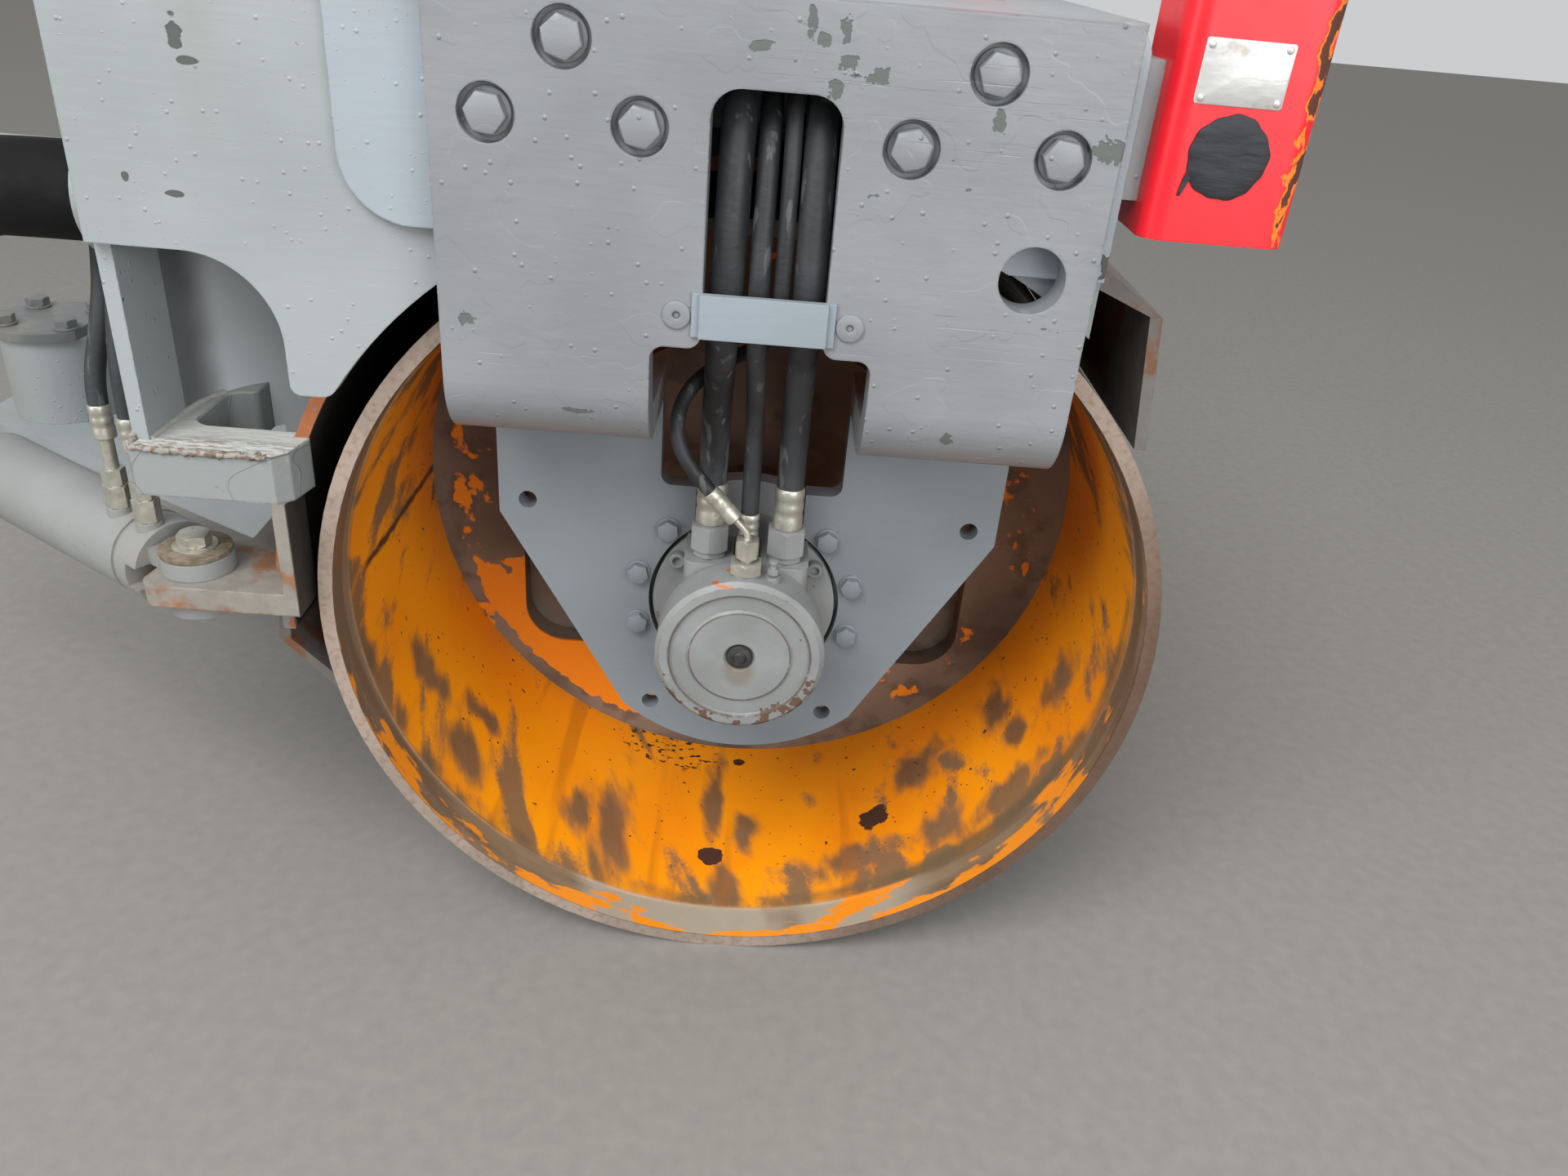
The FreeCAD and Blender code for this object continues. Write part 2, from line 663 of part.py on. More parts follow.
# Pads: doubler plates welded on under the legs.
body = plate("pad_near", (
    (-size.pad_front, size.frame_top),
    (-size.pad_front, size.pad_low),
    (size.side_rear, size.pad_low),
    (size.side_rear, size.frame_top),
), side_out, size.pad_wall, ((-size.pad_front, size.pad_low),), size.pad_corner)
round_corners(body, ((size.side_rear, size.frame_top),), size.top_corner, "y")
sketch = new_sketch(body, "PadArch", "XZ_Plane")
draw_circle(sketch, 0, 0, size.arch_radius)
cut_through(body, sketch)
cut_shape(body, "PadSlot", box_points(-rise_half, rise_half, 0, size.rise_top),
          rise_corners, size.slot_corner)
pad_far = mirror("pad_far", body)
keep(join_label("leg_pads", [body, pad_far]))

# Legs: thick plate bolted to the pad, bent inwards to a shelf that reaches into the drum.
leg_bolts = [(side * (size.leg_half - inset), size.frame_top - depth)
             for side in (-1, 1) for inset, depth in LEG_BOLTS]
body = new_body("leg_near")
sketch = new_sketch(body, "LegSection", "YZ_Plane")
inner_bend = size.leg_bend - size.leg_wall
draw_profile(sketch, (
    (-leg_out, size.frame_top),
    (-leg_out, size.leg_low + size.leg_bend, size.leg_bend, 1),
    (-leg_out + size.leg_bend, size.leg_low),
    (-tongue_out, size.leg_low),
    (-tongue_out, size.leg_low + size.leg_wall),
    (-leg_out + size.leg_bend, size.leg_low + size.leg_wall, inner_bend, -1),
    (-pad_out, size.leg_low + size.leg_bend),
    (-pad_out, size.frame_top),
))
pad(body, sketch, size.leg_half * 2, midplane=True)
round_corners(body, ((-size.leg_half, size.frame_top), (size.leg_half, size.frame_top)),
              size.mouth_corner, "y")
cut_shape(body, "HoseSlot", box_points(-size.slot_half, size.slot_half, size.mouth_top, size.slot_top),
          slot_corners, size.slot_corner)
cut_shape(body, "HoseMouth", box_points(-size.mouth_half, size.mouth_half, 0, size.mouth_top))
round_corners(body, ((-size.mouth_half, size.mouth_top), (size.mouth_half, size.mouth_top)),
              size.mouth_corner, "y")
round_corners(body, ((-size.slot_half, size.mouth_top), (size.slot_half, size.mouth_top)),
              size.mouth_corner, "y")
sketch = new_sketch(body, "SightHole", "XZ_Plane")
draw_circle(sketch, size.sight_x, size.sight_z, size.sight_radius)
cut_through(body, sketch)
sketch = new_sketch(body, "BoltHoles", "XZ_Plane")
for x, z in leg_bolts:
    draw_circle(sketch, x, z, size.bolt_shank + size.bolt_fit)
cut_through(body, sketch)
sketch = new_sketch(body, "BoltSinks", "XZ_Plane", leg_out)
for x, z in leg_bolts:
    draw_circle(sketch, x, z, size.sink_radius)
cut_depth(body, sketch, size.sink_depth)
keep(body, mirror("leg_far", body))


def draw_hexagon(sketch, x, y, flats):
    """A bolt head's outline, two of its flats upright."""
    reach = flats / 2
    slant = flats / math.sqrt(12)
    draw_profile(sketch, (
        (x + reach, y - slant), (x + reach, y + slant), (x + 0, y + slant * 2),
        (x - reach, y + slant), (x - reach, y - slant), (x + 0, y - slant * 2),
    ))


# Leg bolts: hexagon heads in their counterbores.
body = new_body("leg_bolts_near")
sketch = new_sketch(body, "Heads", "XZ_Plane", leg_out - size.sink_depth)
for x, z in leg_bolts:
    draw_hexagon(sketch, x, z, size.bolt_flats)
pad(body, sketch, size.bolt_head)
sketch = new_sketch(body, "Shanks", "XZ_Plane", pad_out)
for x, z in leg_bolts:
    draw_circle(sketch, x, z, size.bolt_shank)
pad(body, sketch, size.leg_wall - size.sink_depth)
leg_bolts_far = mirror("leg_bolts_far", body)
keep(join_label("leg_bolts", [body, leg_bolts_far]))

# Tongues: the plates inside the drum that carry the motors.
tip_low = -root(size.tongue_radius * size.tongue_radius - size.tongue_tip * size.tongue_tip)
tongue_top = size.leg_low + size.leg_wall
body = plate("tongue_near", (
    (-size.tongue_half, tongue_top),
    (-size.tongue_half, size.tongue_shoulder),
    (-size.tongue_tip, tip_low, size.tongue_radius, 1),
    (size.tongue_tip, tip_low),
    (size.tongue_half, size.tongue_shoulder),
    (size.tongue_half, tongue_top),
    (size.notch_half, tongue_top),
    (size.notch_half, size.notch_low),
    (-size.notch_half, size.notch_low),
    (-size.notch_half, tongue_top),
), tongue_in, size.tongue_wall)
round_corners(body, ((-size.notch_half, size.notch_low), (size.notch_half, size.notch_low)),
              size.mouth_corner, "y")
cut_shape(body, "Opening", box_points(-size.opening_half, size.opening_half, 0, size.notch_low))
hole_turn = math.radians(size.hole_angle.number)
hole_radius = size.tongue_radius - size.hole_edge
tongue_holes = [(side * x, z) for side in (-1, 1) for x, z in (
    (size.tongue_half - size.hole_side, size.tongue_shoulder + size.hole_rise),
    (hole_radius * math.cos(hole_turn), -hole_radius * math.sin(hole_turn)),
)]
flange_turns = [math.tau * (k + 0.5) / size.flange_count.number
                for k in range(round(size.flange_count.number))]
flange_bolts = [(size.flange_circle * math.sin(turn), size.flange_circle * math.cos(turn))
                for turn in flange_turns
                if math.cos(turn) < 0
                or size.flange_circle.number * abs(math.sin(turn)) > size.opening_half.number]
sketch = new_sketch(body, "MotorBore", "XZ_Plane")
draw_circle(sketch, 0, 0, size.tongue_bore)
for x, z in tongue_holes:
    draw_circle(sketch, x, z, size.tongue_hole)
for x, z in flange_bolts:
    draw_circle(sketch, x, z, size.flange_bolt + size.bolt_fit)
cut_through(body, sketch)
keep(body, mirror("tongue_far", body))

# Motor bolts: they hold the motor's flange behind the tongue.
body = new_body("motor_bolts_near")
sketch = new_sketch(body, "MotorHeads", "XZ_Plane", tongue_out)
for x, z in flange_bolts:
    draw_hexagon(sketch, x, z, size.flange_flats)
pad(body, sketch, size.flange_head)
sketch = new_sketch(body, "MotorShanks", "XZ_Plane", tongue_in)
for x, z in flange_bolts:
    draw_circle(sketch, x, z, size.flange_bolt)
pad(body, sketch, size.tongue_wall)
motor_bolts_far = mirror("motor_bolts_far", body)
keep(join_label("motor_bolts", [body, motor_bolts_far]))

# Motors: flange behind the tongue, body through its bore, ports on top and a dished cover.
cover_out = half_drum + size.motor_proud
cover_in = cover_out - size.cover_wall
flange_in = tongue_in - size.flange_wall
body = new_body("motor_near")
sketch = new_sketch(body, "MotorSection", "YZ_Plane")
plug = size.tongue_bore - size.plug_gap
draw_profile(sketch, (
    (-cover_in, 0),
    (-cover_in, size.motor_body),
    (-tongue_out, size.motor_body),
    (-tongue_out, plug),
    (-tongue_in, plug),
    (-tongue_in, size.flange_radius),
    (-flange_in, size.flange_radius),
    (-flange_in, size.hub_radius),
    (-nose_in - size.running_gap, size.hub_radius),
    (-nose_in - size.running_gap, size.shaft_radius),
    (-nose_in - size.running_gap + size.shaft_length, size.shaft_radius),
    (-nose_in - size.running_gap + size.shaft_length, 0),
))
revolve(body, sketch)
port_y = -(half_drum - size.port_out)
port_tip = port_y - size.port_half
for name, x in (("PortFront", -size.port_x), ("PortRear", size.port_x + 0)):
    sketch = new_sketch(body, name, "XY_Plane")
    draw_profile(sketch, box_points(x - size.port_half, x + size.port_half, port_tip, -tongue_out))
    pad(body, sketch, size.port_z)
    round_corners(body, ((x - size.port_half, port_tip), (x + size.port_half, port_tip)),
                  size.port_corner, "z")
sketch = new_sketch(body, "DrainPort", "XY_Plane")
draw_circle(sketch, 0, port_y, size.drain_boss)
pad(body, sketch, size.drain_z)
keep(body, mirror("motor_far", body))

bleed_y = -half_drum - size.bleed_out
body = new_body("motor_cover_near")
sketch = new_sketch(body, "CoverSection", "YZ_Plane")
draw_profile(sketch, (
    (-cover_in, 0),
    (-cover_in, size.cover_radius),
    (-cover_out + size.cover_chamfer, size.cover_radius),
    (-cover_out, size.cover_radius - size.cover_chamfer),
    (-cover_out, size.ring_outer),
    (-cover_out + size.recess_floor, size.ring_outer - size.ring_slope),
    (-cover_out + size.recess_floor, size.ring_inner + size.ring_slope),
    (-cover_out + size.middle_low, size.ring_inner),
    (-cover_out + size.middle_low, size.plug_radius + size.ring_slope),
    (-cover_out + size.plug_low, size.plug_radius),
    (-cover_out + size.plug_low, 0),
))
revolve(body, sketch)
nipple_low = root(size.cover_radius * size.cover_radius - size.nipple_x * size.nipple_x)
for name, x, radius, top in (
    ("BleedPort", as_size(0), size.bleed_boss, size.bleed_z),
    ("NipplePort", size.nipple_x, size.nipple_boss, nipple_low + size.nipple_boss / 2),
):
    sketch = new_sketch(body, name, "XY_Plane")
    draw_circle(sketch, x, bleed_y, radius)
    pad(body, sketch, top)
keep(body, mirror("motor_cover_far", body))

# Front wall: closes the half-frame towards the pivot and narrows to the pivot arm.
arm_low = size.pivot_height - size.drum_radius - size.boss_length / 2 - size.arm_wall
arm_top = arm_low + size.arm_wall
deck_low = size.frame_top - size.deck_wall
body = new_body("front_wall")
sketch = new_sketch(body, "WallOutline", "YZ_Plane", -size.side_front)
draw_profile(sketch, (
    (-side_in, deck_low), (-side_in, size.wall_low), (-size.arm_half, size.wall_low),
    (-size.arm_half, arm_top), (size.arm_half, arm_top), (size.arm_half, size.wall_low),
    (side_in, size.wall_low), (side_in, deck_low),
))
pad(body, sketch, size.front_wall)
keep(body)
wall_in = -size.side_front + size.front_wall

# Rear wall: closes the half-frame behind the drum's top.
body = new_body("rear_wall")
sketch = new_sketch(body, "RearOutline", "YZ_Plane", size.side_rear - size.front_wall)
draw_profile(sketch, box_points(-side_in, side_in, arch_rear + size.rear_rise, deck_low))
pad(body, sketch, size.front_wall)
keep(body)

# Deck: the plate on top, between the side plates.
body = new_body("deck_plate")
sketch = new_sketch(body, "DeckOutline", "XY_Plane", deck_low)
draw_profile(sketch, box_points(-size.side_front, size.side_rear, -side_in, side_in))
pad(body, sketch, size.deck_wall)
sketch = new_sketch(body, "DeckHoles", "XY_Plane")
hole_front = -size.side_front + size.deck_hole_front
hole_side = side_in - size.deck_hole_side
for x in (hole_front, hole_front + size.deck_hole_pitch):
    for y in (-hole_side, hole_side):
        draw_circle(sketch, x, y, size.deck_hole)
cut_through(body, sketch)
keep(body)

# Rolled guard: a curved plate over the front and top of the drum.
body = new_body("drum_guard")
sketch = new_sketch(body, "GuardSection", "XZ_Plane")
inner_low = -root(size.guard_radius * size.guard_radius - size.guard_low * size.guard_low)
outer_low = -root(guard_out * guard_out - size.guard_low * size.guard_low)
draw_profile(sketch, (
    (inner_low, -size.guard_low, size.guard_radius, -1),
    (0, size.guard_radius),
    (0, guard_out, guard_out, 1),
    (outer_low, -size.guard_low),
))
pad(body, sketch, guard_half * 2, midplane=True)
keep(body)

# Lashing steps: thick plates between front wall and guard with an eye for a strap hook.
pocket_y = -side_out + size.pocket_start
pocket_x = wall_in + size.pocket_radius
pocket_out = size.pocket_radius + size.pocket_wall
body = new_body("step_near")
sketch = new_sketch(body, "StepOutline", "XY_Plane", size.wall_low)
eye_out = -side_out + size.eye_outer
eye_in = -side_out + size.eye_inner
draw_profile(sketch, (
    (-size.side_front, -side_out),
    (-size.step_nose - size.step_chamfer, -side_out),
    (-size.step_nose, -side_out + size.step_chamfer),
    (-size.step_heel, -guard_half),
    (-size.step_heel, pocket_y + size.pocket_radius),
    (pocket_x, pocket_y + size.pocket_radius, size.pocket_radius, 1),
    (wall_in, pocket_y),
    (wall_in, -side_in),
    (-size.side_front, -side_in),
))
pad(body, sketch, size.step_wall)
sketch = new_sketch(body, "LashingEye", "XY_Plane")
draw_profile(sketch, box_points(-size.eye_front, 0 - size.lobe_front, eye_out, eye_in))
cut_through(body, sketch)
sketch = new_sketch(body, "StripEnd", "XY_Plane")
draw_profile(sketch, box_points(-size.finger_end, 0 - size.lobe_front, eye_in - 1,
                                pocket_y + size.pocket_radius + 1))
cut_through(body, sketch)
round_corners(body, ((-size.eye_front, eye_out),), size.eye_corner, "z")
round_corners(body, ((-size.eye_front, eye_in),), size.eye_turn, "z")
round_corners(body, ((-size.finger_end, eye_in),), size.finger_corner, "z")
sketch = new_sketch(body, "StepArch", "XZ_Plane", guard_half)
draw_circle(sketch, 0, 0, guard_out)
cut_depth(body, sketch, guard_half)
keep(body, mirror("step_far", body))

# Pocket walls: rolled plates that close the frame behind the lashing eyes.
body = new_body("pocket_near")
sketch = new_sketch(body, "PocketOutline", "XY_Plane", size.wall_low)
rolled_rise = root(pocket_out * pocket_out - size.pocket_radius * size.pocket_radius)
rolled_end = (pocket_x, pocket_y + pocket_out)
rolled_face = (
    (0, pocket_y + pocket_out),
    (0, pocket_y + size.pocket_radius),
    (pocket_x, pocket_y + size.pocket_radius, size.pocket_radius, 1),
)
draw_profile(sketch, (
    (wall_in, pocket_y),
    (wall_in, pocket_y + rolled_rise, pocket_out, -1),
    rolled_end,
) + rolled_face)
pad(body, sketch, deck_low - size.wall_low)
sketch = new_sketch(body, "PocketSkirt", "XY_Plane", size.lug_top)
skirt_x = pocket_x - size.skirt_reach
skirt_square = size.skirt_reach * size.skirt_reach
skirt_in = pocket_y + root(size.pocket_radius * size.pocket_radius - skirt_square)
skirt_out = pocket_y + root(pocket_out * pocket_out - skirt_square)
draw_profile(sketch, (
    (skirt_x, skirt_in),
    (skirt_x, skirt_out, pocket_out, -1),
    rolled_end,
) + rolled_face)
pad(body, sketch, size.wall_low - size.lug_top)
sketch = new_sketch(body, "PocketArch", "XZ_Plane")
draw_circle(sketch, 0, 0, guard_out)
cut_through(body, sketch)
pocket_far = mirror("pocket_far", body)
keep(join_label("pocket_walls", [body, pocket_far]))

# Pivot arm, boss and cap: the lower half of the articulation.
body = new_body("pivot_arm")
sketch = new_sketch(body, "ArmOutline", "XY_Plane", arm_low)
draw_profile(sketch, (
    (wall_in, -size.arm_half),
    (wall_in, size.arm_half),
    (-size.side_front, size.arm_half),
    (-size.pivot_reach, size.arm_tip, size.arm_tip, 1),
    (-size.pivot_reach, -size.arm_tip),
    (-size.side_front, -size.arm_half),
))
pad(body, sketch, size.arm_wall)
sketch = new_sketch(body, "ArmBore", "XY_Plane")
draw_circle(sketch, -size.pivot_reach, 0, size.pivot_bore)
cut_through(body, sketch)
keep(body)

body = new_body("pivot_boss")
sketch = new_sketch(body, "BossRing", "XY_Plane", arm_top)
draw_circle(sketch, -size.pivot_reach, 0, size.boss_radius)
draw_circle(sketch, -size.pivot_reach, 0, size.pivot_bore)
pad(body, sketch, size.boss_length)
keep(body)

body = new_body("pivot_cap")
sketch = new_sketch(body, "CapDisc", "XY_Plane", arm_top + size.boss_length)
cap_radius = size.boss_radius + size.cap_proud
cap_rise = root(cap_radius * cap_radius - size.cap_flat * size.cap_flat)
draw_profile(sketch, (
    (-size.pivot_reach + size.cap_flat, -cap_rise),
    (-size.pivot_reach + size.cap_flat, cap_rise, cap_radius, 1),
    (-size.pivot_reach - cap_radius, 0, cap_radius, 1),
))
pad(body, sketch, size.cap_wall)
keep(body)

# Cylinder lug and swing bolt.
swing_y = -side_out + size.swing_in
body = new_body("cylinder_lug")
sketch = new_sketch(body, "LugOutline", "XY_Plane", size.lug_top - size.lug_wall)
lug_root = -size.guard_radius + size.guard_wall
draw_profile(sketch, (
    (-size.lug_end, -side_out),
    (-size.lug_front, -side_out),
    (-size.swing_x - size.lug_nose, swing_y + size.lug_nose),
    (-size.lug_tab, -side_out + size.tab_start),
    (-size.lug_tab, -side_out + size.tab_depth),
    (lug_root, -side_out + size.tab_depth),
    (lug_root, -guard_half),
    (-size.lug_end, -guard_half),
))
pad(body, sketch, size.lug_wall)
round_corners(body, ((-size.lug_front, -side_out),), size.lug_corner, "z")
sketch = new_sketch(body, "LugArch", "XZ_Plane", guard_half)
draw_circle(sketch, 0, 0, guard_out)
cut_depth(body, sketch, guard_half)
sketch = new_sketch(body, "LugGusset", "XY_Plane", size.lug_top)
draw_profile(sketch, box_points(-size.lug_end - size.lug_gusset, 0 - size.lug_end, -side_out, -guard_half))
pad(body, sketch, size.wall_low - size.lug_top)
sketch = new_sketch(body, "LugBore", "XY_Plane")
draw_circle(sketch, -size.swing_x, swing_y, size.swing_radius)
cut_through(body, sketch)
keep(body)

fork_half = size.lug_wall / 2 + size.fork_gap + size.fork_wall
cylinder_axis = size.lug_top - size.lug_wall / 2
fork_top = cylinder_axis + fork_half
body = new_body("swing_bolt")
sketch = new_sketch(body, "BoltShank", "XY_Plane", cylinder_axis - fork_half)
draw_circle(sketch, -size.swing_x, swing_y, size.swing_radius)
pad(body, sketch, fork_half * 2 + size.fork_gap)
sketch = new_sketch(body, "BoltWasher", "XY_Plane", fork_top + size.fork_gap)
draw_circle(sketch, -size.swing_x, swing_y, size.swing_flats * 0.75)
pad(body, sketch, size.swing_washer)
sketch = new_sketch(body, "BoltHex", "XY_Plane", fork_top + size.fork_gap + size.swing_washer)
draw_hexagon(sketch, -size.swing_x, swing_y, size.swing_flats)
pad(body, sketch, size.bolt_head)
keep(body)

# Steering cylinder: drawn along X from its eye, then swung about the bolt.


def swing(body):
    """Puts a cylinder piece on the swing bolt at its angle to the frame."""
    place(body, -size.swing_x, swing_y, cylinder_axis)
    body.Placement.Rotation = FreeCAD.Rotation(Vector(0, 0, 1), 180 - size.barrel_turn.number)
    place(body, -size.swing_x, swing_y, cylinder_axis)


body = new_body("cylinder_barrel")
sketch = new_sketch(body, "BarrelSection", "XZ_Plane")
groove_end = size.groove_start + size.groove_length
gland_start = size.barrel_end - size.barrel_gland
bore_start = size.barrel_start + size.barrel_cap
draw_profile(sketch, (
    (size.barrel_start, 0),
    (size.barrel_start, size.barrel_radius),
    (size.groove_start, size.barrel_radius),
    (size.groove_start, size.barrel_radius - size.groove_depth),
    (groove_end, size.barrel_radius - size.groove_depth),
    (groove_end, size.barrel_radius),
    (size.barrel_end, size.barrel_radius),
    (size.barrel_end, size.rod_radius + size.rod_fit),
    (gland_start, size.rod_radius + size.rod_fit),
    (gland_start, size.barrel_bore),
    (bore_start, size.barrel_bore),
    (bore_start, 0),
))
revolve(body, sketch)
sketch = new_sketch(body, "ForkNeck", "XY_Plane", -fork_half)
draw_profile(sketch, box_points(0, size.barrel_start + 1, -size.fork_side, size.fork_side))
pad(body, sketch, fork_half * 2)
sketch = new_sketch(body, "ForkRound", "XY_Plane", -fork_half)
draw_circle(sketch, 0, 0, size.eye_radius)
pad(body, sketch, fork_half * 2)
sketch = new_sketch(body, "ForkSlot", "XZ_Plane")
slot_half = fork_half - size.fork_wall
draw_profile(sketch, box_points(-size.eye_radius - 1, size.fork_slot, -slot_half, slot_half))
cut_through(body, sketch)
sketch = new_sketch(body, "ForkBore", "XY_Plane")
draw_circle(sketch, 0, 0, size.swing_radius + size.swing_fit)
cut_through(body, sketch)
cylinder_ports = (size.port_front, size.port_rear)
sketch = new_sketch(body, "PortBosses", "XY_Plane", size.port_low)
for x in cylinder_ports:
    draw_circle(sketch, x, size.port_side, size.port_boss)
pad(body, sketch, size.port_high - size.port_low)
swing(body)
keep(body)

body = new_body("cylinder_rod")
sketch = new_sketch(body, "RodSection", "XZ_Plane")
piston_end = size.piston_start + size.piston_length
rod_end = size.rod_reach - size.rod_eye_bore * 2
draw_profile(sketch, (
    (size.piston_start, 0),
    (size.piston_start, size.barrel_bore - size.rod_fit),
    (piston_end, size.barrel_bore - size.rod_fit),
    (piston_end, size.rod_radius),
    (rod_end, size.rod_radius),
    (rod_end, 0),
))
revolve(body, sketch)
sketch = new_sketch(body, "RodEye", "XY_Plane", -size.rod_eye_height / 2)
draw_circle(sketch, size.rod_reach, 0, size.rod_eye_radius)
pad(body, sketch, size.rod_eye_height)
sketch = new_sketch(body, "RodEyeBore", "XY_Plane")
draw_circle(sketch, size.rod_reach, 0, size.rod_eye_bore)
cut_through(body, sketch)
swing(body)
keep(body)


def stack(label, x, y, stages):
    """A fitting along Z.  A stage is (bottom, top, flats, radius): a hexagon, or a round
    where flats is 0."""
    body = new_body(label)
    for number, (low, high, flats, radius) in enumerate(stages):
        sketch = new_sketch(body, f"{label}Stage{number}", "XY_Plane", low)
        if flats:
            draw_hexagon(sketch, x, y, flats)
        else:
            draw_circle(sketch, x, y, radius)
        pad(body, sketch, as_size(high) - low)
    return body


# Cylinder ports: adapter, nut, neck and crimped sleeve on each port boss, above the cylinder's axis.
PORT_STAGES = ((20.5, 19, 0), (15, 17, 0), (27, 0, 5.8), (30, 0, 9))
ports = []
for name, x in zip(("front", "rear"), cylinder_ports):
    stages = []
    low = size.port_high
    for rise, flats, radius in PORT_STAGES:
        stages.append((low, low + rise, flats, radius))
        low = low + rise
    fitting_body = stack(f"cylinder_port_{name}", x, size.port_side, stages)
    swing(fitting_body)
    ports.append(fitting_body)
keep(join_label("cylinder_ports", ports))

# Roll-bar posts: square tubes bolted on behind the side plates, with ears for the folding bar.
post_front = size.side_rear + size.post_gap + size.front_wall
post_face = side_out + size.post_out
post_back = post_face - size.post_depth
body = new_body("post_near")
sketch = new_sketch(body, "PostSection", "XY_Plane", size.post_low)
draw_profile(sketch, box_points(post_front, post_front + size.post_width, -post_face, -post_back))
pad(body, sketch, size.post_top - size.post_low)
round_corners(body, (
    (post_front, -post_face), (post_front + size.post_width, -post_face),
    (post_front, -post_back), (post_front + size.post_width, -post_back),
), size.post_corner, "z")
ear_x = post_front + size.post_width / 2
ear_z = size.post_top + size.hinge_rise
for name, at in (("EarOut", post_face - size.hinge_wall - size.hinge_inset),
                 ("EarIn", post_back + size.hinge_inset)):
    sketch = new_sketch(body, name, "XZ_Plane", at)
    draw_profile(sketch, (
        (ear_x + size.hinge_radius, size.post_top),
        (ear_x + size.hinge_radius, ear_z, size.hinge_radius, 1),
        (ear_x - size.hinge_radius, ear_z),
        (ear_x - size.hinge_radius, size.post_top),
    ))
    pad(body, sketch, size.hinge_wall)
sketch = new_sketch(body, "HingeBore", "XZ_Plane")
draw_circle(sketch, ear_x, ear_z, size.hinge_bore)
cut_through(body, sketch)
keep(body, mirror("post_far", body))

# Post brackets: angles that bolt the posts to the rear wall.
body = new_body("post_bracket_near")
sketch = new_sketch(body, "BracketOutline", "XY_Plane", size.post_low + size.bracket_inset)
draw_profile(sketch, box_points(size.side_rear, post_front, -side_out, -post_back + size.bracket_reach))
pad(body, sketch, size.frame_top - size.post_low - size.bracket_inset * 2)
bracket_far = mirror("post_bracket_far", body)
keep(join_label("post_brackets", [body, bracket_far]))

# Scrapers: steel strips along the drum, each on a bent bracket, their lips just off the shell.
lip = size.drum_radius + size.scraper_gap


def strip(label, points):
    """A bar along the drum with the given section."""
    body = new_body(label)
    sketch = new_sketch(body, label + "Section", "XZ_Plane")
    draw_profile(sketch, points)
    pad(body, sketch, size.scraper_half * 2, midplane=True)
    return keep(body)


rear_turn = math.radians(size.rear_lip_angle.number)
rear_z = lip * math.sin(rear_turn)
rear_x = lip * math.cos(rear_turn)
rear_top = rear_z + size.scraper_height
rear_wall_low = arch_rear + size.rear_rise
strip("rear_scraper", (
    (rear_x, rear_z),
    (rear_x + size.scraper_wall, rear_z),
    (rear_x - size.scraper_lean + size.scraper_wall, rear_top),
    (rear_x - size.scraper_lean, rear_top),
))
strip("rear_scraper_bracket", (
    (rear_x - size.scraper_lean, rear_top),
    (rear_x - size.scraper_lean + size.scraper_wall, rear_top),
    (size.side_rear, rear_wall_low + size.rear_bracket_high),
    (size.side_rear, rear_wall_low + size.rear_bracket_low),
))
front_turn = math.radians(size.front_lip_angle.number)
front_z = -lip * math.sin(front_turn)
front_x = -lip * math.cos(front_turn)
front_top = front_z + size.scraper_rise
front_back = front_x - size.scraper_reach
strip("front_scraper", (
    (front_x, front_z),
    (front_back, front_top),
    (front_back - size.scraper_wall, front_top),
    (front_x - size.scraper_wall, front_z - size.scraper_bevel),
))
strip("front_scraper_bracket", (
    (-guard_out, 0),
    (-guard_out - size.scraper_wall, 0),
    (front_back - size.scraper_wall, front_top),
    (front_back, front_top),
))


def tube(label, points, radius):
    """A hose: straight runs joined by tangent arcs along the given points."""
    spots = [Vector(*point) for point in points]
    edges = []
    here = spots[0]
    length = 0
    for before, corner, after in zip(spots, spots[1:], spots[2:]):
        back = (before - corner)
        ahead = (after - corner)
        turn = math.pi - back.getAngle(ahead)
        bend = 0.45 * min(back.Length, ahead.Length) / math.tan(turn / 2)
        cut = bend * math.tan(turn / 2)
        start = corner + back.normalize() * cut
        end = corner + ahead.normalize() * cut
        to_centre = (back + ahead).normalize()
        centre = corner + to_centre * (bend / math.cos(turn / 2))
        middle = centre - to_centre * bend
        edges.append(Part.makeLine(here, start))
        edges.append(Part.Arc(start, middle, end).toShape())
        length += (start - here).Length + bend * turn
        print(f"{label}: bend radius {bend:.0f}")
        here = end
    edges.append(Part.makeLine(here, spots[-1]))
    length += (spots[-1] - here).Length
    ring = Part.Wire([Part.makeCircle(radius, spots[0], spots[1] - spots[0])])
    solid = Part.Wire(edges).makePipeShell([ring], True, False)
    expected = math.pi * radius ** 2 * length
    if abs(solid.Volume - expected) > 0.01 * expected:
        raise ValueError(f"{label}: volume {solid.Volume:.0f}, expected {expected:.0f}")
    feature = doc.addObject("Part::Feature", label)
    feature.Label = label
    feature.Shape = solid
    place(feature)
    return feature


# Hose bulkheads: the plates under the deck that the hoses screw into.
bulkhead_face = half_drum - size.bulkhead_out
body = plate("hose_bulkhead_near", box_points(
    -size.bulkhead_half, size.bulkhead_half, size.bulkhead_low, deck_low,
), bulkhead_face - size.bulkhead_wall, size.bulkhead_wall)
keep(body, mirror("hose_bulkhead_far", body))

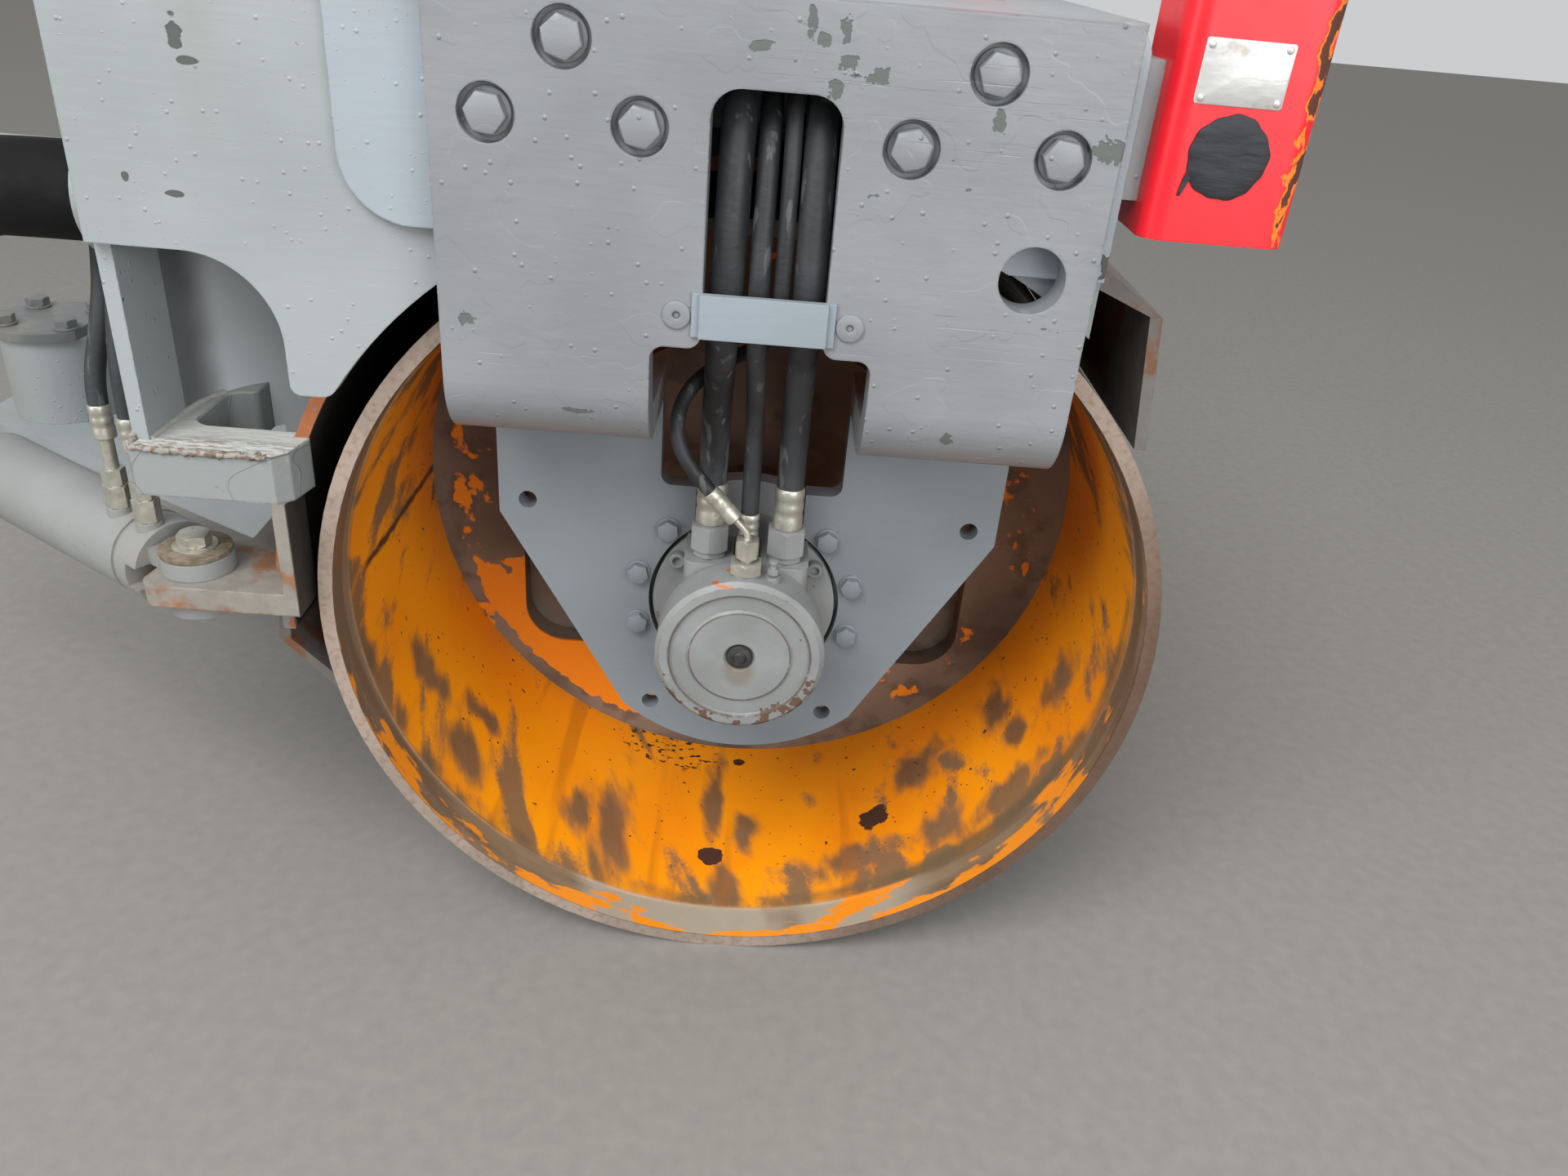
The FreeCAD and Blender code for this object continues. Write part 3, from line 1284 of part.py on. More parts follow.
# Motor hoses: out of the bulkhead, through the slots, under the clamp and down to the motor.
# Each is a label, a radius and points (x, y outwards from the drum's end, z above the axis).
MOTOR_HOSES = (
    ("hose_pressure", 12, (
        (-25, -60, 455), (-25, 12, 455), (-26, 38, 385), (-28, 40, 300), (-32.5, -38, 205),
        (-32.5, -38, 136))),
    ("hose_return", 11.5, (
        (30.5, -60, 455), (30.5, 12, 455), (30.5, 38, 385), (31, 40, 300), (32.5, -38, 205),
        (32.5, -38, 136))),
    ("hose_drain", 7.5, (
        (-4, -60, 450), (-4, 12, 450), (-4, 36, 385), (-5, 44, 300), (0, -38, 190), (0, -38, 109))),
    ("hose_bleed", 6, (
        (11.5, -60, 462), (11.5, 16, 462), (12, 38, 390), (11.5, 41, 306), (10, 2, 272),
        (-5, -34, 253), (-28, -47, 238), (-56, -31, 219), (-64, -5, 196), (-54.6, 3, 168.6),
        (-33, 3, 145))),
)
for label, radius, points in MOTOR_HOSES:
    hose = keep(tube(label, [(x, -half_drum.number - y, z) for x, y, z in points], radius))
    if label != "hose_bleed":
        keep(mirror(label + "_far", hose))

# Hose ends: adapter, nut and crimped sleeve of each motor hose.
# Each is a label, x, foot, then the adapter's flats and top, and the nut's flats and top.
MOTOR_ENDS = (
    ("end_pressure", -size.port_x, size.port_z, 27, 74, 31, 98),
    ("end_return", size.port_x + 0, size.port_z, 27, 74, 31, 98),
    ("end_drain", as_size(0), size.drain_z, 17, 70, 20, 84),
)
SLEEVE_SPARE = 1.2
ends = []
for (label, radius, points), end in zip(MOTOR_HOSES, MOTOR_ENDS):
    name, x, foot, adapter_flats, adapter_top, nut_flats, nut_top = end
    ends.append(stack(name, x, port_y, (
        (foot, adapter_top, adapter_flats, 0),
        (as_size(adapter_top), nut_top, nut_flats, 0),
        (as_size(nut_top), points[-1][2], 0, radius + SLEEVE_SPARE),
    )))
ends_far = mirror("hose_ends_far", join_label("ends_near", ends))


def fuse_label(label, pieces):
    """Pieces that are one solid on the real product."""
    whole = doc.addObject("Part::MultiFuse", label)
    whole.Label = label
    whole.Shapes = pieces
    return whole


# Bleed fitting: base, nut, bent pipe and crimped sleeve on top of the motor's cover.
BLEED_STAGES = ((size.bleed_z, 85, 25, 0), (as_size(85), 88, 0, 6), (as_size(88), 105, 17, 0))
BLEED_PIPE = ((0, 100), (0, 109), (-11.5, 121.5))
bleed_pipe = [(x, bleed_y.number, z) for x, z in BLEED_PIPE]
hose_x, hose_y, hose_z = MOTOR_HOSES[-1][2][-1]
sleeve_top = Vector(hose_x, -half_drum.number - hose_y, hose_z)
sleeve_foot = Vector(*bleed_pipe[-1])
sleeve = doc.addObject("Part::Feature", "bleed_sleeve")
sleeve.Shape = Part.makeCylinder(7.5, (sleeve_top - sleeve_foot).Length, sleeve_foot,
                                 sleeve_top - sleeve_foot)
place(sleeve)
ends.append(fuse_label("bleed_fitting", [
    stack("bleed_base", as_size(0), bleed_y, BLEED_STAGES), tube("bleed_pipe", bleed_pipe, 3), sleeve]))
keep(join_label("hose_ends_near", ends), ends_far)

# Hose clamps: bars across the slots that hold the hoses back against the frame.
body = new_body("hose_clamp_near")
sketch = new_sketch(body, "ClampPlan", "XY_Plane", size.clamp_low)
draw_profile(sketch, (
    (-size.clamp_half, -leg_out),
    (-size.clamp_half, -leg_out - size.clamp_lip),
    (-size.clamp_middle, -leg_out - size.clamp_lip),
    (-size.clamp_middle, -leg_out - size.clamp_wall),
    (size.clamp_middle, -leg_out - size.clamp_wall),
    (size.clamp_middle, -leg_out - size.clamp_lip),
    (size.clamp_half, -leg_out - size.clamp_lip),
    (size.clamp_half, -leg_out),
))
pad(body, sketch, size.clamp_height)
keep(body, mirror("hose_clamp_far", body))

# Steering hoses: from the cylinder's sleeves up to unions in a plate on the front wall.
# Each is a label, its port's distance from the swing bolt and points (x and y from the port,
# z above its sleeve) that end under the plate.
STEERING_HOSES = (
    ("steering_hose_front", size.port_front, (
        (0, 0, 0), (0, 0, 21), (12, 5, 65), (16, 18, 105), (9, 42, 165), (12, 56, 228))),
    ("steering_hose_rear", size.port_rear, (
        (0, 0, 0), (0, 0, 39), (-1, 19, 95), (-3, 55, 149), (-3, 61, 193), (-3, 59, 243))),
)
STEERING_RADIUS = 8
turn = math.radians(180 - size.barrel_turn.number)
port_along = math.cos(turn)
port_across = math.sin(turn)
sleeve_end = cylinder_axis + size.port_high + sum(rise for rise, flats, radius in PORT_STAGES)
union_foot = size.union_rise - size.union_low
union_places = []
for label, port, points in STEERING_HOSES:
    port_x = -size.swing_x + port * port_along - size.port_side * port_across
    port_y = swing_y + port * port_across + size.port_side * port_along
    route = [(port_x.number + x, port_y.number + y, sleeve_end.number + z) for x, y, z in points]
    route.append((*route[-1][:2], union_foot.number))
    keep(tube(label, route, STEERING_RADIUS))
    union_places.append((label, port_x + points[-1][0], port_y + points[-1][1]))
body = new_body("steering_unions")
sketch = new_sketch(body, "UnionPlate", "XY_Plane", size.union_rise)
union_y = -side_out + size.union_side
draw_profile(sketch, box_points(-size.side_front - size.union_out, 0 - size.side_front,
                                union_y, union_y + size.union_width))
pad(body, sketch, size.union_plate)
union_head = size.union_rise + size.union_plate
for label, x, y in union_places:
    for name, low, height in (("Low", union_foot, size.union_low), ("High", union_head, size.union_high)):
        sketch = new_sketch(body, label + name, "XY_Plane", low)
        draw_hexagon(sketch, x, y, size.union_flats)
        pad(body, sketch, height)
keep(body)

# Sleeved bundle: the hoses to the other half-frame, along the front wall to a strap with couplings.
# Its points are x, the distance inward from the side plate's face and z.
BUNDLE = ((-496, 62, 332), (-540, 62, 332), (-588, 78, 327), (-628, 118, 317), (-658, 176, 303),
          (-684, 230, 294), (-734, 279, 290), (-786, 279, 290))
keep(tube("hose_bundle", [(x, inward - side_out.number, z) for x, inward, z in BUNDLE],
          size.bundle_radius.number))
collar_front = new_body("collar_front")
sketch = new_sketch(collar_front, "FrontCollar", "YZ_Plane", -size.side_front - size.collar_length)
draw_circle(sketch, -side_out + BUNDLE[0][1], BUNDLE[0][2], size.collar_radius)
pad(collar_front, sketch, size.collar_length)
bundle_x, bundle_inward, bundle_z = BUNDLE[-1]
bundle_y = -side_out + bundle_inward
bundle_end = new_body("bundle_end")
disc_x = bundle_x - size.collar_length
sketch = new_sketch(bundle_end, "EndDisc", "YZ_Plane", disc_x)
draw_circle(sketch, bundle_y, bundle_z, size.collar_radius)
pad(bundle_end, sketch, size.collar_length)
sketch = new_sketch(bundle_end, "Strap", "YZ_Plane", disc_x)
strap_y = bundle_y + size.strap_start
draw_profile(sketch, box_points(strap_y, strap_y + size.strap_wall,
                                bundle_z - size.strap_half, bundle_z + size.strap_half))
pad(bundle_end, sketch, -size.side_front - disc_x)
sketch = new_sketch(bundle_end, "Couplings", "YZ_Plane", disc_x - size.coupling_length)
for across in (-size.coupling_side, size.coupling_side + 0):
    for above in (-size.coupling_side, size.coupling_side + 0):
        draw_hexagon(sketch, bundle_y + across, bundle_z + above, size.coupling_flats)
pad(bundle_end, sketch, size.coupling_length)
keep(join_label("bundle_collars", [collar_front, bundle_end]))

doc.recompute()

# Every object has to be whole before anything is written.
for thing in doc.Objects:
    if "Invalid" in thing.State or "Error" in thing.State:
        raise ValueError(f"{thing.Label} failed: {thing.State}")
for piece in subparts:
    if piece.Shape.isNull() or not piece.Shape.isValid() or piece.Shape.Volume <= 0:
        raise ValueError(f"{piece.Label} has no sound solid")

os.makedirs("parts", exist_ok=True)
for piece in subparts:
    piece.Shape.exportStep(f"parts/{piece.Label}.step")
print(len(subparts), "parts")
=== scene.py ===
import math

import bmesh
import bpy
from mathutils import Matrix, Vector


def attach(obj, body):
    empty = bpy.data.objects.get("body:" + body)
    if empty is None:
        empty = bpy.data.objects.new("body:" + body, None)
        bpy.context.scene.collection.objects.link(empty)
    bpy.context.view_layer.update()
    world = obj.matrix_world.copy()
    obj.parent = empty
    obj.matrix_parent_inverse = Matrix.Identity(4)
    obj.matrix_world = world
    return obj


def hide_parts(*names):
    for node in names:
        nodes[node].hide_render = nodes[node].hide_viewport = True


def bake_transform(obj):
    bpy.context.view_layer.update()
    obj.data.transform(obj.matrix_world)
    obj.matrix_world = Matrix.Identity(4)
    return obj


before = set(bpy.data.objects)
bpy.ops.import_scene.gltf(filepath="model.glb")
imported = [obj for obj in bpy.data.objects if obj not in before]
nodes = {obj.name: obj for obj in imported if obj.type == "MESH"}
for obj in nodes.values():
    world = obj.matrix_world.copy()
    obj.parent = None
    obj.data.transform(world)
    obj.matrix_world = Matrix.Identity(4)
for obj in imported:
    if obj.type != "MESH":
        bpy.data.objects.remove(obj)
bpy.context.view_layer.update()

# Places and sizes of the part in metres that several pieces below share.  The near side is at
# minus Y.
DRUM_AXIS = Vector((0.9, 0, 0.026))
DRUM_RADIUS = 0.360
DRUM_HALF = 0.600
RIM_DEPTH = 0.038
SIDE_FACE = 0.624
STEP_TOP = 0.183
LEG_FACE = 0.651
PORT_Y = 0.562
BLEED_Y = -0.603
NEAR = (math.radians(90), 0, 0)
FAR = (math.radians(-90), 0, 0)
UPWARD = (0, 0, 0)
SIDES = ((-1, "near", NEAR), (1, "far", FAR))


def add(name, data):
    """A new object with its data, linked to the scene."""
    made = bpy.data.objects.new(name, data)
    bpy.context.collection.objects.link(made)
    return made


# Camera: a person standing beside the drum and looking down into its open near end.  Place, turn
# and lens come from the ellipse that the drum's rim makes in the photograph.
EYE = Vector((0.9010, -1.4648, 0.5692))
YAW = math.radians(2.14)
PITCH = math.radians(29.21)
ROLL = math.radians(5.16)
ahead = Vector((math.sin(YAW) * math.cos(PITCH), math.cos(YAW) * math.cos(PITCH), -math.sin(PITCH)))
level = Vector((math.cos(YAW), -math.sin(YAW), 0))
over = level.cross(ahead)
right = level * math.cos(ROLL) + over * math.sin(ROLL)
up = over * math.cos(ROLL) - level * math.sin(ROLL)
camera = add("camera", bpy.data.cameras.new("camera"))
camera.data.lens = 27.04
camera.data.sensor_width = 36
camera.data.clip_start = 0.02
camera.matrix_world = Matrix.Translation(EYE) @ Matrix((right, up, -ahead)).transposed().to_4x4()
bpy.context.scene.camera = camera
bpy.context.scene.view_settings.view_transform = "Standard"

# Materials: each is a small tree of noises and masks, written as plain arithmetic on the values
# that the nodes give.


def seen(red, green, blue):
    """A colour as a screen shows it, 0 to 255, in the linear numbers that shaders take."""
    shares = [part / 255 for part in (red, green, blue)]
    return [s / 12.92 if s < 0.04 else ((s + 0.055) / 1.055) ** 2.4 for s in shares] + [1]


class Value:
    """The output of a node, which takes part in plain arithmetic; | gives the larger of two."""

    def __init__(self, tree, socket):
        self.tree = tree
        self.socket = socket

    def math(self, operation, *values):
        return self.tree.node("ShaderNodeMath", (self, *values), operation=operation)

    def __add__(self, other):
        return self.math("ADD", other)

    def __sub__(self, other):
        return self.math("SUBTRACT", other)

    def __mul__(self, other):
        return self.math("MULTIPLY", other)

    def __or__(self, other):
        return self.math("MAXIMUM", other)

    def __abs__(self):
        return self.math("ABSOLUTE")

    def __rsub__(self, other):
        return self.tree.node("ShaderNodeMath", (other, self), operation="SUBTRACT")

    __radd__ = __add__
    __rmul__ = __mul__

    def rise(self, low, high):
        """0 below low, 1 above high, and smooth between them."""
        return self.tree.node("ShaderNodeMapRange", {"Value": self, "From Min": low, "From Max": high},
                              interpolation_type="SMOOTHSTEP")


class Nodes:
    """Adds nodes to one tree, of a material or of a shape."""

    def __init__(self, tree):
        self.tree = tree

    def node(self, kind, values=(), output=0, **settings):
        """One node: its settings first, then a value or a link for each of its sockets."""
        made = self.tree.nodes.new(kind)
        for name, setting in settings.items():
            setattr(made, name, setting)
        for key, value in (values.items() if isinstance(values, dict) else enumerate(values)):
            if isinstance(value, Value):
                self.tree.links.new(value.socket, made.inputs[key])
            else:
                made.inputs[key].default_value = value
        return Value(self, made.outputs[output])


class Finish(Nodes):
    """A paint, metal or rubber whose pattern follows the piece's own place."""

    def __init__(self, name, roughness=0.5, metallic=0.0):
        self.material = bpy.data.materials.new(name)
        self.material.use_nodes = True
        super().__init__(self.material.node_tree)
        self.surface = self.tree.nodes["Principled BSDF"]
        self.surface.inputs["Roughness"].default_value = roughness
        self.surface.inputs["Metallic"].default_value = metallic
        self.place = self.node("ShaderNodeTexCoord", output="Object")
        parts = self.node("ShaderNodeSeparateXYZ", [self.place]).socket.node.outputs
        self.x, self.y, self.z = (Value(self, part) for part in parts)

    def point(self, *parts):
        return self.node("ShaderNodeCombineXYZ", parts)

    def noise(self, scale, stretch=(1, 1, 1), detail=3, shift=0, at=None):
        spot = self.node("ShaderNodeMapping", {
            "Vector": at or self.place, "Location": [shift] * 3, "Scale": [scale * s for s in stretch]})
        return self.node("ShaderNodeTexNoise", {"Vector": spot, "Scale": 1, "Detail": detail})

    def pimples(self, size):
        """Small round swellings under the paint, one near some of the points of a loose grid."""
        spot = self.node("ShaderNodeMapping", {"Vector": self.place, "Scale": [1 / size] * 3})
        return self.node("ShaderNodeTexVoronoi", {"Vector": spot, "Scale": 1}).rise(0.15, 0.03)

    def off_axis(self):
        """The distance from the drum's axis."""
        x, z = self.x - DRUM_AXIS.x, self.z - DRUM_AXIS.z
        return (x * x + z * z).math("SQRT")

    def mix(self, mask, under, over):
        under, over = (seen(*tone) if isinstance(tone, tuple) else tone for tone in (under, over))
        return self.node("ShaderNodeMix", {0: mask, 6: under, 7: over}, output=2, data_type="RGBA")

    def coats(self, base, *layers):
        """A base colour under layers, each given by its mask and its colour."""
        for mask, tone in layers:
            base = self.mix(mask, base, tone)
        return base

    def far(self, centre, sizes):
        """How many of its own sizes a point lies from a spot's centre."""
        away = self.node("ShaderNodeVectorMath", [self.place, centre], operation="SUBTRACT")
        shares = self.node("ShaderNodeVectorMath", [away, sizes], operation="DIVIDE")
        return self.node("ShaderNodeVectorMath", [shares], output="Value", operation="LENGTH")

    def marks(self, face, spots, ragged):
        """1 on ragged spots of the near side of a plate, each given by its middle and half sizes in
        x and z."""
        mask = 0 * ragged
        for x, z, half, rise in spots:
            mask |= (self.far((x, -face, z), (half, 0.02, rise)) + ragged).rise(1.10, 0.96)
        return mask

    def edges(self, width):
        """1 on the outer edges of the solid and 0 on its faces, with the edges' rounded normal."""
        soft = self.node("ShaderNodeBevel", {"Radius": width}, samples=2)
        true = self.node("ShaderNodeNewGeometry", output="Normal")
        match = self.node("ShaderNodeVectorMath", [soft, true], output="Value", operation="DOT_PRODUCT")
        return match.rise(0.97, 0.80), soft

    def finish(self, colour, roughness=None, metallic=None, height=None, distance=0.001, normal=None):
        """Joins the pattern to the surface: colour, gloss and relief."""
        if height is not None:
            values = {"Height": height, "Distance": distance, "Strength": 1.0}
            if normal is not None:
                values["Normal"] = normal
            normal = self.node("ShaderNodeBump", values)
        links = {"Base Color": colour, "Roughness": roughness, "Metallic": metallic, "Normal": normal}
        for name, value in links.items():
            if value is not None:
                self.tree.links.new(value.socket, self.surface.inputs[name])
        return self.material


def dress(material, *names):
    """Gives CAD nodes their material."""
    for name in names:
        nodes[name].data.materials[0] = material


def two_tone(name, tone, shade, scale, detail=4, roughness=0.5, distance=0.001):
    """A material of two tones, mixed by one noise that is its relief too."""
    made = Finish(name, roughness)
    grain = made.noise(scale, detail=detail)
    return made.finish(made.mix(grain, tone, shade), height=grain, distance=distance)


# Yard and daylight: a pale level floor that the drum stands on, an overcast sky and one wide soft
# lamp high on the camera's side, with two weak ones low down.
FLOOR_HALF = 14
yard = Finish("yard_floor", roughness=0.9)
floor_mesh = bpy.data.meshes.new("yard_floor")
floor_mesh.from_pydata([(x * FLOOR_HALF, y * FLOOR_HALF, DRUM_AXIS.z - DRUM_RADIUS) for x, y in (
    (-1, -1), (1, -1), (1, 1), (-1, 1))], [], [(0, 1, 2, 3)])
yard_tone = yard.mix(yard.noise(60, detail=4), (126, 123, 118), (143, 140, 134))
floor_mesh.materials.append(yard.finish(yard_tone))
add("yard_floor", floor_mesh)

sky = bpy.data.worlds.new("overcast_sky")
sky.use_nodes = True
sky.node_tree.nodes["Background"].inputs["Color"].default_value = (0.965, 0.98, 1.0, 1)
sky.node_tree.nodes["Background"].inputs["Strength"].default_value = 0.62
bpy.context.scene.world = sky

for name, place, aim, width, power in (
    ("high_lamp", (-0.6, -3.2, 3.8), DRUM_AXIS, 3.0, 215),
    ("low_lamp", (2.6, -3.4, 1.2), DRUM_AXIS, 2.4, 62),
    ("side_lamp", (-1.9, -2.6, 0.7), (0.45, -0.5, 0.2), 1.2, 20),
):
    lamp = add(name, bpy.data.lights.new(name, "AREA"))
    lamp.data.shape = "DISK"
    lamp.data.size = width
    lamp.data.energy = power
    lamp.location = place
    lamp.rotation_euler = (Vector(place) - Vector(aim)).to_track_quat("Z", "Y").to_euler()

# Drum: a rolled steel shell with a turned seat in each rim.  The outside is bare metal worn by
# asphalt; the inside still has its orange paint, washed off in streaks and chipped by stones.
drum = Finish("drum_shell_steel")
across = drum.x - DRUM_AXIS.x
above = drum.z - DRUM_AXIS.z
radius = drum.off_axis()
depth = DRUM_HALF - abs(drum.y)
turn = across.math("ARCTAN2", -1 * above)
fine = drum.noise(240, detail=4)

# Washed streaks run with the drum's width; they lean a little, as water does that is carried round.
lean = drum.point(drum.x + depth * 0.35, drum.y * 0.26, drum.z - depth * 0.3)
streaks = drum.noise(17, detail=5, at=lean)
clouds = drum.noise(5.5, stretch=(1, 0.7, 1), shift=4)
washed_level = streaks + fine * 0.08 + clouds * 0.14 + above.rise(0.00, 0.12) * 0.045
washed_level += depth.rise(0.085, 0.050) * 0.055 + abs(across).rise(0.13, 0.26) * 0.028
washed_level += across.rise(-0.16, -0.33) * above.rise(-0.13, 0.02) * 0.062
washed = washed_level.rise(0.682, 0.780)
SMEARS = (
    ((0.775, -0.480, -0.296), (0.018, 0.078, 0.050)),
    ((0.738, -0.470, -0.279), (0.015, 0.032, 0.050)),
    ((0.592, -0.463, -0.120), (0.035, 0.017, 0.040)),
    ((0.625, -0.498, -0.182), (0.035, 0.026, 0.030)),
    ((0.632, -0.432, -0.190), (0.025, 0.013, 0.020)),
    ((0.572, -0.550, -0.075), (0.035, 0.017, 0.062)),
    ((1.186, -0.392, -0.167), (0.040, 0.040, 0.014)),
    ((1.192, -0.447, -0.157), (0.030, 0.020, 0.014)),
    ((1.110, -0.398, -0.247), (0.024, 0.030, 0.030)),
    ((1.227, -0.456, -0.084), (0.030, 0.022, 0.032)),
    ((1.040, -0.512, -0.290), (0.048, 0.019, 0.040)),
    ((1.182, -0.522, -0.172), (0.040, 0.022, 0.030)),
    ((1.127, -0.512, -0.234), (0.022, 0.030, 0.030)),
    ((0.920, -0.443, -0.318), (0.014, 0.026, 0.030)),
    ((0.882, -0.395, -0.318), (0.009, 0.056, 0.030)),
    ((0.899, -0.545, -0.319), (0.015, 0.045, 0.030)),
)
lean_fine = drum.point(drum.x + depth * 0.30, drum.y * 0.30, drum.z - depth * 0.25)
frayed = (drum.noise(40, detail=6, at=lean_fine) - 0.5) * 3.4
for centre, sizes in SMEARS:
    washed |= (drum.far(centre, sizes) + frayed).rise(1.72, 0.46)
drip = drum.noise(26, stretch=(1, 0.08, 1), shift=9).rise(0.56, 0.67) * above.rise(0.05, -0.30)
shelf = depth.rise(0.034, 0.040) * depth.rise(0.062, 0.048) * drum.noise(8, shift=12).rise(0.42, 0.56)
inner = drum.coats(
    (255, 160, 8),
    (clouds.rise(0.40, 0.68) * 0.7, (238, 132, 10)),
    (washed * 0.88, drum.mix(streaks.rise(0.40, 0.62), (92, 77, 60), (110, 94, 74))),
    (drip * 0.40, (170, 96, 24)),
    (shelf * 0.85, (104, 90, 66)))

# Stone chips down to the rusty plate: two large, one small, a row of specks by the web and loose
# dots; and the shell's weld seam on the left.
CHIPS = (
    ((0.884, -0.487, -0.319), 0.014),
    ((1.060, -0.450, -0.280), 0.017),
    ((0.908, -0.318, -0.319), 0.0065),
    ((0.700, 0.450, -0.255), 0.014),
    ((0.980, 0.380, -0.308), 0.009),
)
speck_place = drum.far((0.822, -0.312, -0.312), (0.066, 0.036, 0.05)).rise(1.1, 0.8)
chip = drum.noise(110, stretch=(1, 1.6, 1), detail=2, shift=3).rise(0.60, 0.62) * speck_place
chip |= drum.noise(150, detail=1, shift=7).rise(0.735, 0.75) * depth.rise(0.06, 0.12)
ragged = (drum.noise(95, detail=2) - 0.5) * 1.1
for centre, size in CHIPS:
    chip |= (drum.far(centre, [size] * 3) + ragged).rise(1.06, 0.96)
seam_line = abs((drum.z - 0.031) + (drum.noise(30, detail=2) - 0.5) * 0.012)
seam_side = drum.x.rise(0.62, 0.60) * depth.rise(0.06, 0.09)
seam = seam_line.rise(0.0060, 0.0016) * seam_side * streaks.rise(0.30, 0.42)
inner = drum.coats(inner, (chip, (70, 42, 30)), (seam, (88, 60, 40)))

# The turned seat has dust and rests of paint along it, the rim's end face is bare and pinkish, its pale
# upper left partly a painted highlight against a browner lower right, and the outside is greyer and scored
# around.
pits = drum.noise(170, detail=4)
bands = drum.noise(1, detail=4, at=drum.point(turn * 1.6, depth * 60, radius * 90))
seat_paint = drum.noise(1, detail=5, at=drum.point(turn * 4.5, depth * 45, radius * 30))
seat_paint += clouds * 0.25 + pits * 0.06 - depth * 4.2 + above.rise(-0.02, -0.20) * 0.115
seat = drum.coats(
    (112, 92, 72),
    (bands.rise(0.40, 0.62), (138, 116, 92)),
    # Pale silt along the seat's bottom, its pale tone partly a painted sheen.
    (above.rise(-0.27, -0.31) * clouds.rise(0.36, 0.46), (164, 155, 138)),
    (seat_paint.rise(0.710, 0.755), (236, 142, 30)))
end_tone = drum.coats(
    (178, 162, 150),
    (pits.rise(0.44, 0.72) * 0.55, (150, 120, 98)),
    ((across + above * -0.4).rise(0.14, 0.36) * 0.85, (98, 70, 52)))
scratches = drum.noise(1, detail=5, at=drum.point(turn * 2.2, drum.y * 70, radius * 4))
worn = drum.noise(7, detail=4, shift=5)
outside = drum.coats(
    (128, 122, 116),
    ((scratches + worn * 0.4).rise(0.56, 0.84), (92, 82, 74)),
    (worn.rise(0.62, 0.72) * 0.7, (134, 92, 66)))
on_outside = radius.rise(0.3578, 0.3592)
on_end = depth.rise(0.0012, 0.0004)
colour = drum.coats(
    inner,
    (depth.rise(RIM_DEPTH + 0.004, RIM_DEPTH - 0.002), seat),
    (on_outside, outside),
    (on_end, end_tone))
bare = on_outside | on_end
relief = 0.5 - chip * 0.5 - washed * 0.06 + fine * 0.10 - seam * 0.4
relief += bare * (scratches * 0.2 + pits * 0.12)
dress(drum.finish(colour, roughness=0.34 + washed * 0.30 + chip * 0.25 + bare * 0.08 + fine * 0.10,
                  metallic=bare * 0.55, height=relief, distance=0.0016), "drum_shell")

# Webs and drive: dished discs welded inside the shell, brown with dirt, with the drive disc and
# its rubber buffers that the motor turns.  A little orange paint is left beside the tongue.
web = Finish("drum_paint")
web_grain = web.noise(75, detail=5)
web_clouds = web.noise(7, shift=1)
web_smear = web.noise(22, detail=5, shift=7)
web_ring = web.off_axis()
web_left = web.x.rise(0.82, 0.70) * web.z.rise(-0.02, -0.15)
web_paint = web_grain * 0.36 + web_smear * 0.48 + web_clouds * 0.16 + web_left * 0.19
web_paint += web.x.rise(0.70, 0.60) * 0.045 - abs(web.y).rise(0.288, 0.284)
web_paint -= web_ring.rise(0.322, 0.336) * 0.2 + web_ring.rise(0.20, 0.14) * 0.2
web_colour = web.coats(
    (91, 82, 74),
    (web_clouds.rise(0.3, 0.7), (133, 118, 103)),
    (web_smear.rise(0.5, 0.62) * 0.5, (68, 56, 49)),
    (web_paint.rise(0.565, 0.60), (236, 140, 16)))
dress(web.finish(web_colour, roughness=0.45 + web_grain * 0.35, height=web_grain),
      "drum_webs", "exciter_housing", "drive_discs")
dress(two_tone("buffer_rubber", (34, 33, 33), (72, 66, 60), 90, roughness=0.75, distance=0.0006),
      "rubber_buffers")

# Half-frame: side plates, pads, front and rear walls, deck, guard and steps, cut from thick plate
# and welded, under two coats of brushed grey paint that has runs, blisters and small dark chips.


def brushed_paint(name, tone, shade, blister=1.0, chips=1.0, dirt=0.25, edge=0.0016, spots=()):
    """Thick paint brushed over old paint: cloudy, blistered, chipped, with pale worn edges."""
    paint = Finish(name)
    clouds = paint.noise(6)
    brushing = paint.noise(70, stretch=(0.35, 1, 2.5), shift=3)
    crumbs_and_glints = paint.noise(300, detail=1, shift=8).rise(0.74, 0.79)
    chipped = paint.noise(42, detail=4, shift=11) + paint.noise(7, detail=1, shift=2) * 0.35
    chipped = chipped.rise(0.992 - 0.04 * chips, 1.002 - 0.04 * chips)
    stains = paint.noise(9, stretch=(1, 1, 0.4), detail=4, shift=14).rise(0.56, 0.74)
    colour = paint.coats(tone, (clouds.rise(0.32, 0.68), shade), (stains * dirt, (140, 134, 120)))
    soft = None
    if edge:
        worn, soft = paint.edges(edge)
        colour = paint.mix(worn * brushing.rise(0.35, 0.6) * 0.45, colour, (198, 200, 198))
    if spots:
        chipped |= paint.marks(SIDE_FACE, spots, (brushing - 0.5) * 2.4)
    # Crumbs are small bumps in the relief; their whitish colour is a painted highlight on them.
    colour = paint.coats(colour, (crumbs_and_glints * 0.22, (196, 198, 196)), (chipped, (78, 84, 80)))
    relief = paint.pimples(0.0120) * (blister * 0.50) + crumbs_and_glints * 0.22 + brushing * 0.18 + clouds * 0.3
    return paint.finish(colour, roughness=0.36 + brushing * 0.20 + chipped * 0.3,
                        height=relief - chipped * 0.4, distance=0.0012, normal=soft)


